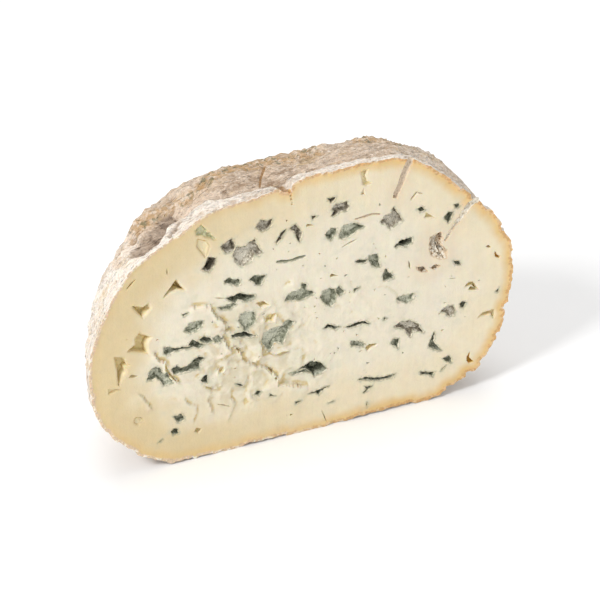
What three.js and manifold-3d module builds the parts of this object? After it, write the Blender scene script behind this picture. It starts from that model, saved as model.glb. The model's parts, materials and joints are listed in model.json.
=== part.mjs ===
// Blue cheese wedge: a chunk cut off a round, slumped wheel, standing on its flat base.
// Millimetres, +Z up. The cut face looks along -Y and the rind curves round behind it.
// It is drawn with the cut plane at y = 0, and moved to the middle of its own box last.
import * as THREE from 'three';
import { ImprovedNoise } from 'three/addons/math/ImprovedNoise.js';
import { mergeVertices } from 'three/addons/utils/BufferGeometryUtils.js';
import Module from 'manifold-3d';

// The axis of the wheel stands this far in front of the cut plane.
const AXIS_OFFSET = 24.4;
// Height of the widest part, and how much flatter the wheel is than a ball.
const WHEEL_MIDDLE = 70;
const FLATTENING = 1.6;
// Mesh density of the rind.
const COLUMNS_ROUND = 176;
const RINGS_PER_STATION = 2;
// The block in front of the cut plane that the knife takes away.
const KNIFE_BLOCK = { width: 400, depth: 200, height: 300 };

// Section of the wheel at the cut plane, base to top: half width and height of each station.
const RIGHT_SECTION = [
  [34, 0], [66, 0], [73, 2], [79.5, 4.8], [87, 8.6], [93, 13.4], [98.4, 19.4], [103, 27.5],
  [106.4, 38], [108.6, 50], [110, 62], [109.3, 70], [107.4, 79], [104, 87], [98.5, 96.5],
  [92, 104.3], [83.5, 112.5], [73.5, 121.8], [64, 129.7], [54, 136.3], [44, 139.7],
  [30, 140.9], [14, 141.6], [0, 141],
];
const LEFT_SECTION = [
  [34, 0], [66, 0], [73, 1.9], [79, 4.6], [86, 8.8], [92.5, 13.8], [98.5, 21.2], [104, 30],
  [107.8, 39], [109.6, 48.5], [110, 58], [109, 68], [106.5, 77], [103.6, 86], [98.5, 95],
  [93.5, 103.5], [86.5, 112], [74.5, 119], [63, 125], [53, 130.8], [42, 133.4],
  [28, 134.6], [14, 136], [0, 138.5],
];

// Broad swellings of the rind: centre, reach along each axis, and push at the centre.
const SWELLINGS = [
  { centre: [44, 26, 130], reach: [24, 16, 24], push: [1, 2, 5.5] },
  { centre: [74, 18, 114], reach: [20, 16, 26], push: [3, 3, 6.5] },
  { centre: [-80, 26, 100], reach: [26, 22, 30], push: [1, 1, 2.5] },
  { centre: [-46, 30, 124], reach: [26, 18, 22], push: [0, 2, 6] },
  { centre: [20, 84, 70], reach: [50, 30, 40], push: [0, 1.5, 0] },
];

// Folds of the rind: both ends, half width, and depth. A negative depth is a ridge.
const FOLDS = [
  { from: [-80.9, 22, 110.9], to: [-80, 6, 115.4], half: 4, deep: 2 },
  { from: [-74.8, 8.4, 118.1], to: [-64.6, 15.3, 123], half: 4.5, deep: 3.2 },
  { from: [-63, 17, 124], to: [-54, 20, 128.3], half: 4, deep: 2.6 },
  { from: [-54, 20, 128.3], to: [-45.4, 18.7, 132.8], half: 4, deep: 1.6 },
  { from: [-52.5, 15, 129.6], to: [-37, 8.5, 134.3], half: 4, deep: 1.8 },
  { from: [-37, 8.5, 134.3], to: [-14, 7, 137], half: 4, deep: 1.4 },
  { from: [-72, 28, 117], to: [-44, 28, 132], half: 5, deep: -1.8 },
  { from: [-98, 18, 84], to: [-106, 10, 52], half: 5, deep: 1.2 },
  { from: [2, 14, 139], to: [46, 18, 141], half: 6, deep: 1 },
  { from: [-60, 60, 96], to: [-20, 78, 84], half: 7, deep: 1.6 },
  { from: [10, 82, 96], to: [58, 66, 108], half: 7, deep: 1.4 },
  { from: [30, 84, 40], to: [78, 54, 52], half: 8, deep: 1.4 },
  { from: [-84, 48, 38], to: [-40, 74, 30], half: 8, deep: 1.4 },
];
// Uneven lumps over the whole rind: height and size of each kind.
const LUMPS = [
  { height: 1.5, size: 34 },
  { height: 0.9, size: 15 },
];
// Distances over which the relief comes in behind the cut plane and above the base.
const RELIEF_BEHIND_CUT = 12;
const FOLDS_BEHIND_CUT = 5;
const RELIEF_ABOVE_BASE = 14;

// Openings in the cut face where the curd never closed, the larger ones of many.
// Each is [x, z, length, width, turn in degrees, depth, corners], on the cut plane.
const MOULD_POCKETS = [
  // Upper left, grey.
  [-22, 119.5, 8.5, 6, 15, 4, 5],
  [-13, 111, 6.5, 3.5, 55, 4, 4],
  [-5.5, 111, 8.5, 4, -70, 4, 4],
  [-40, 112.5, 6.5, 7, 0, 4, 4],
  [-31.5, 106, 11, 10.5, -10, 6, 6],
  [-49.5, 105, 7, 5, 60, 6, 4],
  // Upper right.
  [16.5, 120, 9, 7, 0, 4, 4],
  [43.5, 106.5, 12.5, 9, -15, 5, 4],
  [12.5, 107, 7, 5.5, 0, 4, 5],
  [22.5, 106, 12, 6.5, 10, 5, 5],
  [50, 93, 9.5, 3.5, 10, 8, 4],
  [34.5, 86.5, 10, 5, -55, 5, 4],
  [42, 75.5, 6.5, 4, 5, 5, 4],
  // Middle left, with the chain of dark ones.
  [-38, 93.5, 7.5, 3.5, -10, 3, 4],
  [-25.5, 92, 7, 5, -5, 4, 5],
  [-33.5, 83.5, 14, 3.5, -10, 6, 4],
  [-30, 71.5, 8, 7, 10, 6, 5],
  [-31, 66, 7.5, 4, -80, 4, 4],
  [-32.5, 62, 13.5, 2, -15, 7, 3],
  [-14.5, 58.5, 18, 8, 30, 6, 5],
  [-57.5, 74, 10.5, 4.5, 20, 4, 4],
  [-52, 65.5, 6.5, 4, 0, 5, 4],
  [-70, 63.5, 6, 4.5, 15, 4, 4],
  [-55, 63, 12, 2.5, -20, 4, 3],
  // Lower left.
  [-75, 49, 13.5, 6.5, -20, 6, 5],
  [-61.5, 53.5, 17.5, 5.5, 10, 6, 5],
  [-66, 25, 5.5, 4, -35, 4, 5],
  // Middle and lower right.
  [-4, 76.5, 15, 7, 0, 5, 5],
  [10.5, 72, 8, 9, -15, 6, 5],
  [15.5, 74, 6, 4, 15, 4, 4],
  [51.5, 63, 8.5, 4.5, 10, 4, 5],
  [74.5, 49, 7.5, 5.5, -5, 3.5, 5],
  [12.5, 56, 9, 3, -10, 4, 4],
  [53.5, 44.5, 17.5, 5.5, -25, 4, 5],
  [46.5, 38.5, 5, 5, -25, 3.5, 4],
  [68, 28.5, 8, 3.5, -25, 5, 4],
  [75, 21.5, 5, 4.5, -15, 4, 4],
  [2.5, 34.5, 15.5, 6, -15, 7, 4],
  [35, 21, 20, 2.2, -8, 4, 3],
];
const CLEAN_POCKETS = [
  [-49.5, 121.5, 11.5, 5.5, -55, 2.5, 5],
  [-65.5, 97.5, 7.5, 7, -20, 5, 4],
  [-83, 90.5, 9.5, 4.5, -25, 3.5, 4],
  [-83.5, 70.5, 12.5, 6, -65, 4, 5],
  [-87, 69, 6.5, 4.5, 0, 2, 4],
  [-95, 59, 15.5, 4.5, 85, 4, 5],
  [-98.5, 49, 8, 3, -5, 2, 3],
  [-23, 77, 7.5, 3.5, -20, 3, 4],
  [-19, 68.5, 6.5, 4.5, 30, 2.5, 4],
  [28.5, 133, 8.5, 4.5, -85, 2, 5],
  [68, 87, 9, 12.5, 0, 4, 6],
  [96, 42.5, 9, 4.5, 5, 3, 4],
];
// Share of its mouth that a pocket keeps at its floor, and how its corners vary.
const POCKET_FLOOR = 0.5;
const CORNER_VARIATION = 0.22;
const SIDE_CONCAVITY = 1.05;
const CUTTER_REACH = 3;
const POCKET_SEED = 71;

// Needle channels that the knife laid open: rim end, inner end, and radius at each.
const CHANNELS = [
  { rim: [54, 0.4, 140.5], inner: [45.6, 1, 121.1], rimRadius: 1.9, innerRadius: 1.1 },
  { rim: [90.5, 0.3, 110.5], inner: [81.2, 0.3, 101.3], rimRadius: 2.3, innerRadius: 1.5 },
  { rim: [81.9, 0.3, 102.4], inner: [73, 0.6, 91], rimRadius: 1.4, innerRadius: 0.8 },
];
const CHANNEL_SIDES = 12;
// Nicks in the rim of the cut face: centre, and half size along each axis.
const NICKS = [
  { centre: [-10.5, 0, 137.6], half: [2.4, 6, 2.8] },
  { centre: [-85.5, 0, 9.4], half: [1.8, 5, 3.4] },
];

function smooth(low, high, value) {
  const t = Math.min(1, Math.max(0, (value - low) / (high - low)));
  return t * t * (3 - 2 * t);
}

// Seeded random numbers from 0 to 1.
function seededRandom(seed) {
  let state = seed;
  return () => {
    state = (state * 1664525 + 1013904223) % 4294967296;
    return state / 4294967296;
  };
}

// A point of one side's section, with the stations joined by a smooth curve.
function sectionPoint(section, index, part) {
  const last = section.length - 1;
  const [a, b, c, d] = [-1, 0, 1, 2].map(
    (step) => section[Math.min(last, Math.max(0, index + step))],
  );
  const joined = (k) => {
    const rise = c[k] - b[k];
    const slopeIn = (c[k] - a[k]) / 2;
    const slopeOut = (d[k] - b[k]) / 2;
    const bend = (1 - part) * (slopeIn - rise) - part * (slopeOut - rise);
    return b[k] + part * rise + part * (1 - part) * bend;
  };
  return { halfWidth: joined(0), height: index < 1 ? 0 : Math.max(0, joined(1)) };
}

// Bare wheel: where a ring of the section stands at one angle round the axis.
function wheelPoint({ index, part }, angle) {
  const right = sectionPoint(RIGHT_SECTION, index, part);
  const left = sectionPoint(LEFT_SECTION, index, part);
  const fromRight = Math.PI - Math.abs(Math.PI - angle);
  const share = smooth(0.35, Math.PI - 0.35, fromRight);
  const halfWidth = THREE.MathUtils.lerp(right.halfWidth, left.halfWidth, share);
  const radius = Math.hypot(halfWidth, AXIS_OFFSET);
  return new THREE.Vector3(
    radius * Math.cos(angle),
    radius * Math.sin(angle) - AXIS_OFFSET,
    THREE.MathUtils.lerp(right.height, left.height, share),
  );
}

function foldDepth(point) {
  const nearest = new THREE.Vector3();
  return FOLDS.reduce((sum, { from, to, half, deep }) => {
    const line = new THREE.Line3(new THREE.Vector3(...from), new THREE.Vector3(...to));
    line.closestPointToPoint(point, true, nearest);
    return sum + deep * Math.exp(-((nearest.distanceTo(point) / half) ** 2));
  }, 0);
}

const unevenness = new ImprovedNoise();

function lumpHeight({ x, y, z }) {
  return LUMPS.reduce(
    (sum, { height, size }) => sum + height * unevenness.noise(x / size, y / size, z / size),
    0,
  );
}

// Moves a point of the bare wheel to where the rind really stands.
function withRelief(point) {
  const aboveBase = smooth(0, RELIEF_ABOVE_BASE, point.z);
  const fade = smooth(0, RELIEF_BEHIND_CUT, point.y) * aboveBase;
  const moved = point.clone();
  for (const { centre, reach, push } of SWELLINGS) {
    const away = point.clone().sub(new THREE.Vector3(...centre));
    away.divide(new THREE.Vector3(...reach));
    moved.addScaledVector(new THREE.Vector3(...push), fade * Math.exp(-away.lengthSq()));
  }
  const outwards = new THREE.Vector3(
    point.x,
    point.y + AXIS_OFFSET,
    (point.z - WHEEL_MIDDLE) * FLATTENING,
  ).normalize();
  const foldFade = smooth(0, FOLDS_BEHIND_CUT, point.y) * aboveBase;
  moved.addScaledVector(outwards, fade * lumpHeight(point) - foldFade * foldDepth(point));
  return moved;
}

// The wheel as one closed mesh, base centre to top centre.
function wheelGeometry() {
  const rings = [];
  for (let index = 0; index < RIGHT_SECTION.length - 1; index += 1) {
    for (let k = 0; k < RINGS_PER_STATION; k += 1) {
      rings.push({ index, part: k / RINGS_PER_STATION });
    }
  }
  rings.push({ index: RIGHT_SECTION.length - 2, part: 1 });
  const points = rings.flatMap((ring) => Array.from({ length: COLUMNS_ROUND }, (_, column) => {
    const angle = (2 * Math.PI * column) / COLUMNS_ROUND;
    return withRelief(wheelPoint(ring, angle));
  }));
  const baseCentre = points.length;
  const topCentre = baseCentre + 1;
  const [, topHeight] = RIGHT_SECTION[RIGHT_SECTION.length - 1];
  points.push(new THREE.Vector3(0, -AXIS_OFFSET, 0));
  points.push(new THREE.Vector3(0, -AXIS_OFFSET, topHeight));
  const faces = [];
  const topRing = (rings.length - 1) * COLUMNS_ROUND;
  for (let column = 0; column < COLUMNS_ROUND; column += 1) {
    const next = (column + 1) % COLUMNS_ROUND;
    for (let start = 0; start < topRing; start += COLUMNS_ROUND) {
      const above = start + COLUMNS_ROUND;
      faces.push(start + column, start + next, above + next);
      faces.push(start + column, above + next, above + column);
    }
    faces.push(baseCentre, next, column);
    faces.push(topCentre, topRing + column, topRing + next);
  }
  return meshGeometry(points, faces);
}

function meshGeometry(points, faces) {
  const geometry = new THREE.BufferGeometry();
  const numbers = points.flatMap((point) => point.toArray());
  geometry.setAttribute('position', new THREE.Float32BufferAttribute(numbers, 3));
  geometry.setIndex(faces);
  return geometry;
}

// Mouth of a pocket about its own centre: corners with hollow sides between them.
function pocketMouth([, , length, width, turn, , corners], random) {
  const hollow = Math.max(0.5, SIDE_CONCAVITY * Math.cos(Math.PI / corners));
  const turned = THREE.MathUtils.degToRad(turn);
  return Array.from({ length: 2 * corners }, (_, k) => {
    const wander = (random() - 0.5) * CORNER_VARIATION;
    const angle = (Math.PI * (k + wander)) / corners;
    const reach = (k % 2 ? hollow : 1) * (1 + wander);
    const along = (length / 2) * reach * Math.cos(angle);
    const across = (width / 2) * reach * Math.sin(angle);
    return new THREE.Vector2(along, across).rotateAround(new THREE.Vector2(), turned);
  });
}

// The solid that cuts one pocket: it starts in front of the face and narrows to its floor.
function pocketCutter(pocket, random) {
  const [x, z, length, width, , deep] = pocket;
  const mouth = pocketMouth(pocket, random);
  const shift = [(random() - 0.5) * length * 0.2, (random() - 0.5) * width * 0.2];
  const level = (y, scale, drift) => mouth.map((corner) => new THREE.Vector3(
    x + corner.x * scale + shift[0] * drift,
    y,
    z + corner.y * scale + shift[1] * drift,
  ));
  const slope = (1 - POCKET_FLOOR) / deep;
  const rows = [
    level(-CUTTER_REACH, 1 + slope * CUTTER_REACH, 0),
    level(deep * (0.9 + 0.2 * random()), POCKET_FLOOR, 1),
  ];
  const count = mouth.length;
  const points = [
    ...rows[0],
    ...rows[1],
    new THREE.Vector3(x, -CUTTER_REACH, z),
    new THREE.Vector3(x + shift[0], deep * 1.15, z + shift[1]),
  ];
  const faces = [];
  for (let k = 0; k < count; k += 1) {
    const next = (k + 1) % count;
    faces.push(k, count + next, next, k, count + k, count + next);
    faces.push(2 * count, k, next, 2 * count + 1, count + next, count + k);
  }
  return meshGeometry(points, faces);
}

// A half-open gutter: a slim cone that lies along the cut plane.
function channelCutter({ rim, inner, rimRadius, innerRadius }) {
  const start = new THREE.Vector3(...inner);
  const end = new THREE.Vector3(...rim);
  const along = end.clone().sub(start);
  const cone = new THREE.CylinderGeometry(rimRadius, innerRadius, along.length(), CHANNEL_SIDES);
  const up = new THREE.Vector3(0, 1, 0);
  const turn = new THREE.Quaternion().setFromUnitVectors(up, along.clone().normalize());
  cone.applyQuaternion(turn);
  const middle = start.add(end).multiplyScalar(0.5);
  return cone.translate(middle.x, middle.y, middle.z);
}

function nickCutter({ centre, half }) {
  const nick = new THREE.OctahedronGeometry(1, 1);
  nick.scale(...half);
  return nick.translate(...centre);
}

function knifeBlock() {
  const { width, depth, height } = KNIFE_BLOCK;
  return new THREE.BoxGeometry(width, depth, height).translate(0, -depth / 2, height / 4);
}

const manifold = await Module();
manifold.setup();

function toSolid(geometry) {
  const bare = geometry.clone();
  bare.deleteAttribute('normal');
  bare.deleteAttribute('uv');
  const merged = mergeVertices(bare, 1e-4);
  return new manifold.Manifold(new manifold.Mesh({
    numProp: 3,
    vertProperties: new Float32Array(merged.attributes.position.array),
    triVerts: new Uint32Array(merged.index.array),
  }));
}

function toGeometry(solid) {
  const mesh = solid.getMesh();
  const geometry = new THREE.BufferGeometry();
  geometry.setAttribute('position', new THREE.Float32BufferAttribute(mesh.vertProperties, 3));
  geometry.setIndex(new THREE.Uint32BufferAttribute(mesh.triVerts, 1));
  geometry.computeVertexNormals();
  return geometry;
}

function cheeseGeometry() {
  const random = seededRandom(POCKET_SEED);
  const cutters = [
    knifeBlock(),
    ...[...MOULD_POCKETS, ...CLEAN_POCKETS].map((pocket) => pocketCutter(pocket, random)),
    ...CHANNELS.map(channelCutter),
    ...NICKS.map(nickCutter),
  ];
  const removed = cutters.map(toSolid).reduce((all, cutter) => all.add(cutter));
  return toGeometry(toSolid(wheelGeometry()).subtract(removed));
}

// Puts the middle of the box over the origin, with the base on z = 0.
function centred(geometry) {
  geometry.computeBoundingBox();
  const { min, max } = geometry.boundingBox;
  return geometry.translate(-(min.x + max.x) / 2, -(min.y + max.y) / 2, 0);
}

const cheese = new THREE.Mesh(
  centred(cheeseGeometry()),
  new THREE.MeshStandardMaterial({ color: 0xe8dcb8, roughness: 0.6, metalness: 0 }),
);
cheese.name = 'cheese';

const group = new THREE.Group();
group.name = 'blue_cheese_wedge';
group.add(cheese);

export default group;
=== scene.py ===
"""Blue cheese: a chunk cut off a round, slumped wheel, with its mouldy pockets and rind.

Shapes are worked out in millimetres with the cut plane at y = 0, the rind towards +y and the
base on z = 0, and moved to the frame's own place (metres) when a mesh is made.
"""

import itertools
import json
import math

import bpy
import numpy as np
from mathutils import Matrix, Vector
from mathutils.kdtree import KDTree

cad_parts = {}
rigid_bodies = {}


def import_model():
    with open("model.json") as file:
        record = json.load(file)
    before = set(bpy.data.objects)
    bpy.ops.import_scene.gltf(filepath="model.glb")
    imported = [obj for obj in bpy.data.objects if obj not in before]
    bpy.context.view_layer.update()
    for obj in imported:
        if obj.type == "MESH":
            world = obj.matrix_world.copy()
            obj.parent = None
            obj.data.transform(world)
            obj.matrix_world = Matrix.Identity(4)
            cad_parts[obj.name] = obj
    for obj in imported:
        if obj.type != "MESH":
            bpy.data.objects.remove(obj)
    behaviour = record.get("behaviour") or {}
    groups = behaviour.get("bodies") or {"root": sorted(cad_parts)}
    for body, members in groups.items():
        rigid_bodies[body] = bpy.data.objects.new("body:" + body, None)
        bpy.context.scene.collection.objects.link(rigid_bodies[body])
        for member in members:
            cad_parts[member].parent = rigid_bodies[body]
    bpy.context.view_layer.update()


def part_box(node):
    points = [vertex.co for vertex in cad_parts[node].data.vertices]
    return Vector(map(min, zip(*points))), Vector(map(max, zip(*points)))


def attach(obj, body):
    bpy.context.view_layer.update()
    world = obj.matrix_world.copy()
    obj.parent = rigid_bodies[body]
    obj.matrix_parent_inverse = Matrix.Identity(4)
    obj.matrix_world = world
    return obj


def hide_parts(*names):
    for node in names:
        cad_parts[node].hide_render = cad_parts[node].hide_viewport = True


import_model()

MM = 0.001
NODE = "cheese"
CUT_PLANE = float(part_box(NODE)[0][1])
SEED = 71

# The wheel
# The axis of the wheel stands this far in front of the cut plane.
AXIS_OFFSET = 24.4
WHEEL_MIDDLE = 70.0
FLATTENING = 1.6
RIGHT_SECTION = np.array([
    [34, 0], [66, 0], [73, 2], [79.5, 4.8], [87, 8.6], [93, 13.4], [98.4, 19.4], [103, 27.5],
    [106.4, 38], [108.6, 50], [110, 62], [109.3, 70], [107.4, 79], [104, 87], [98.5, 96.5],
    [92, 104.3], [83.5, 112.5], [73.5, 121.8], [64, 129.7], [54, 136.3], [44, 139.7],
    [30, 140.9], [14, 141.6], [0, 141],
])
LEFT_SECTION = np.array([
    [34, 0], [66, 0], [73, 1.9], [79, 4.6], [86, 8.8], [92.5, 13.8], [98.5, 21.2], [104, 30],
    [107.8, 39], [109.6, 48.5], [110, 58], [109, 68], [106.5, 77], [103.6, 86], [98.5, 95],
    [93.5, 103.5], [86.5, 112], [74.5, 119], [63, 125], [53, 130.8], [42, 133.4],
    [28, 134.6], [14, 136], [0, 138.5],
])
LAST_STATION = len(RIGHT_SECTION) - 1
BLEND_FROM = 0.35

# Broad swellings of the rind: centre, reach along each axis, and push at the centre.
SWELLINGS = [
    ((44, 26, 130), (24, 16, 24), (1, 2, 5.5)),
    ((74, 18, 114), (20, 16, 26), (3, 3, 6.5)),
    ((-80, 26, 100), (26, 22, 30), (1, 1, 2.5)),
    ((-46, 30, 124), (26, 18, 22), (0, 2, 6)),
    ((20, 84, 70), (50, 30, 40), (0, 1.5, 0)),
]
# Folds of the rind: both ends, half width, and depth. A negative depth is a ridge.
FOLDS = [
    ((-80.9, 22, 110.9), (-80, 6, 115.4), 4, 2),
    ((-74.8, 8.4, 118.1), (-64.6, 15.3, 123), 4.5, 3.2),
    ((-63, 17, 124), (-54, 20, 128.3), 4, 2.6),
    ((-54, 20, 128.3), (-45.4, 18.7, 132.8), 4, 1.6),
    ((-52.5, 15, 129.6), (-37, 8.5, 134.3), 4, 1.8),
    ((-37, 8.5, 134.3), (-14, 7, 137), 4, 1.4),
    ((-72, 28, 117), (-44, 28, 132), 5, -1.8),
    ((-98, 18, 84), (-106, 10, 52), 5, 1.2),
    ((2, 14, 139), (46, 18, 141), 6, 1),
    ((-60, 60, 96), (-20, 78, 84), 7, 1.6),
    ((10, 82, 96), (58, 66, 108), 7, 1.4),
    ((30, 84, 40), (78, 54, 52), 8, 1.4),
    ((-84, 48, 38), (-40, 74, 30), 8, 1.4),
]
# Steep-sided hollows of the rind: both ends, half width, and depth.
DENTS = [
    ((-81.5, 10.5, 112.4), (-75, 9.6, 115.6), 4.4, 2.0),
    ((-75, 9.6, 115.6), (-68, 13.5, 119), 5.2, 2.8),
    ((-68, 13.5, 119), (-65.5, 19, 120.8), 4.2, 2.4),
    ((-68.8, 6.8, 119.2), (-62.6, 17.2, 121.8), 1.9, 1.9),
    ((-80, 19, 110.8), (-75.5, 19, 114.2), 2.2, 1.3),
    ((-64.2, 5.4, 123), (-60.8, 7.6, 124.6), 2.0, 1.7),
    ((-67, 2, 122.4), (-65, 3.2, 123.4), 1.6, 1.5),
]
# Cracks of the rind, brown inside: both ends, half width, and depth.
CRACKS = [
    ((-11, 24, 135.8), (-17.5, 14.5, 135.8), 1.0, 1.5),
    ((-17.5, 14.5, 135.8), (-20.8, 9, 135.4), 0.8, 1.2),
    ((-15.9, 7.4, 136.2), (-13.2, 3.4, 137), 0.9, 1.7),
    ((-13.2, 3.4, 137), (-10.6, -3, 137.5), 3.6, 1.2),
    ((6, 6.6, 138.6), (20, 5.2, 139.8), 0.8, 0.8),
]
# Nicks in the edge of the cut: place on the face, half width, and depth.
NICKS = [
    (86.7, 109.9, 2.0, 1.6), (102.5, 89.8, 2.0, 1.3), (107.8, 43.5, 2.2, 1.7),
    (107.5, 37.5, 1.6, 1.1), (103.5, 27.8, 1.8, 1.2), (96.6, 19.7, 1.8, 1.4),
    (87.6, 9.8, 2.2, 1.6), (76.8, 3.8, 2.0, 1.4), (-86.2, 15.4, 3.0, 1.9),
    (-80.8, 9.9, 2.0, 1.2), (-108.8, 48, 2.0, 1.0), (70.5, 122.2, 1.8, 0.9),
    (-10.6, 137.6, 3.4, 2.7),
]
# Unevenness in layers of noise: height, size and seed of each.
LUMPS = [(1.5, 34.0, 20), (0.9, 15.0, 21)]
POWDER = [(0.4, 6.5, 3), (0.32, 3.1, 4), (0.2, 1.8, 5)]
HOLLOW_EDGES = [(0.2, 4.5, 12), (0.1, 1.8, 13)]
CRACK_EDGES = [(0.25, 2.5, 16)]
LIP_EDGES = [(1, (5, 40, 5), 14), (0.4, (2, 40, 2), 15)]
CHIP_BENDS = [(1.5, 9, 17)]
EDGE_GRAIN = [(0.16, 2, 11)]
# Height of the crust's crumbs, depth of the groove behind the lip and of the edge's chips.
CRUST_HEIGHT = 1.2
CREASE_DEPTH = 0.9
LARGE_CHIP, SMALL_CHIP = 1.1, 0.4
# Distances over which the relief comes in behind the cut plane and above the base.
RELIEF_BEHIND_CUT = 12.0
FOLDS_BEHIND_CUT = 5.0
RELIEF_ABOVE_BASE = 14.0
# The soft lip along the top of the rim: its width behind the cut at some places along x.
LIP_PLACES = [-96, -86, -71, -66, -46, -37, -18, -8, 20, 32, 60, 84]
LIP_WIDTHS = [4.0, 2.4, 2.8, 8.5, 9.5, 7.0, 4.4, 4.6, 3.6, 3.0, 3.0, 2.4]
LIP_RISE = 1.2

# Mesh of the rind: slices behind the cut plane, and points round a slice.
FIRST_SLICE = -4.0
DENSE_STEP = 0.85
DENSE_UNTIL = 27.0
COARSE_STEP = 2.2
POINTS_ROUND = 704
SPARSEST_POINTS = 22
# A slice gets half as many points where they would stand closer than this share of the spacing.
HALVE_BELOW = 0.72
DENSE_SPACING = DENSE_STEP * 1.1
COARSE_SPACING = COARSE_STEP * 0.95
LAST_ANGLE = math.pi / 2 - 0.012
POLE_HEIGHT = WHEEL_MIDDLE - 8
# Rounds of the search for the angle of a slice's point, and samples of a slice's sides.
ANGLE_ROUNDS = 7
SECTION_SAMPLES = 3000
SIDE_SAMPLES = 900
SHARP_FROM = 52.0

# The cut face
FACE_STEP = 0.85
FACE_LEFT, FACE_RIGHT = -119.0, 119.0
FACE_LOW, FACE_HIGH = -5.0, 150.0
KNIFE_FRONT = -60.0

# Tears: path on the face as x and z in turn, how far its right-hand side stands proud, and
# where that fades.
TEARS = [
    ([-57, 84.5, -50, 83, -48, 79.5, -43.5, 74.5, -42, 71, -42, 68, -43.5, 64.5, -41.5, 61.5,
        -40, 56.5], 1.2, 9),
    ([-37.5, 57, -32, 48, -30, 47, -24.5, 43.5, -22.5, 43, -19.5, 39.5, -17, 35, -16, 31.5, -11.5, 29,
        -2, 26], 1.0, 8),
    ([-25, 56, -22.5, 52, -23.5, 50, -28, 47], 1.0, 6),
    ([-11.5, 47.5, -16.5, 47, -22.5, 53], 1.0, 6),
    ([-45.5, 36, -48.5, 36, -51, 40], 0.9, 5),
    ([-50, 36.5, -51, 32, -49, 25], 0.7, 5),
    ([-76.5, 62, -72, 58.5, -71.5, 53.5, -67, 46], 1.2, 5),
    ([-85, 42.5, -80.5, 36.5], 0.7, 4),
    ([-14.5, 31.5, -2, 25.5], 0.4, 6),
    ([36, 71, 42, 70, 46, 66, 47, 60], 0.3, 5),
    ([-62, 36, -58, 30, -59, 22], 0.5, 5),
    ([-40, 33, -38, 26, -40, 18], 0.5, 4),
]

# Where the knife tore the paste, and the wider part that is a little broken: middle and reach.
TORN = ((-30, 50), (34, 32))
BROKEN = ((-22, 56), (68, 46))
# Torn plates that stand proud of one another: step and width of a plate, and seed.
PLATES = [(1.3, 19, 40), (0.8, 11, 41)]
# Crumbs with flat, tilted tops: how far one stands up or down, its width, and seed.
CRUMBS = [(0.95, 7.5, 46), (0.55, 3.6, 47)]
# Unevenness of the face in layers of noise: height, size and seed of each.
FACE_WAVES = [(0.4, 26, 30), (0.2, 10, 31)]
FACE_SMEARS = [(0.08, (2.4, 1, 22), 32)]
FACE_GRAIN = [(0.2, 2.4, 34)]
BENDS_ACROSS = [(1.6, 7, 35), (0.45, 2.6, 37)]
BENDS_UP = [(1.6, 7, 36), (0.45, 2.6, 38)]
RIM_CRUMBS = [(0.5, 2.6, 43), (0.3, 1.7, 44)]

# Kinds of surface, in the order of the material slots.
RIND, PASTE, GREY, BLUE, CLEAN, PINK, ORANGE, BROWN, GREEN = range(9)

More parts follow.
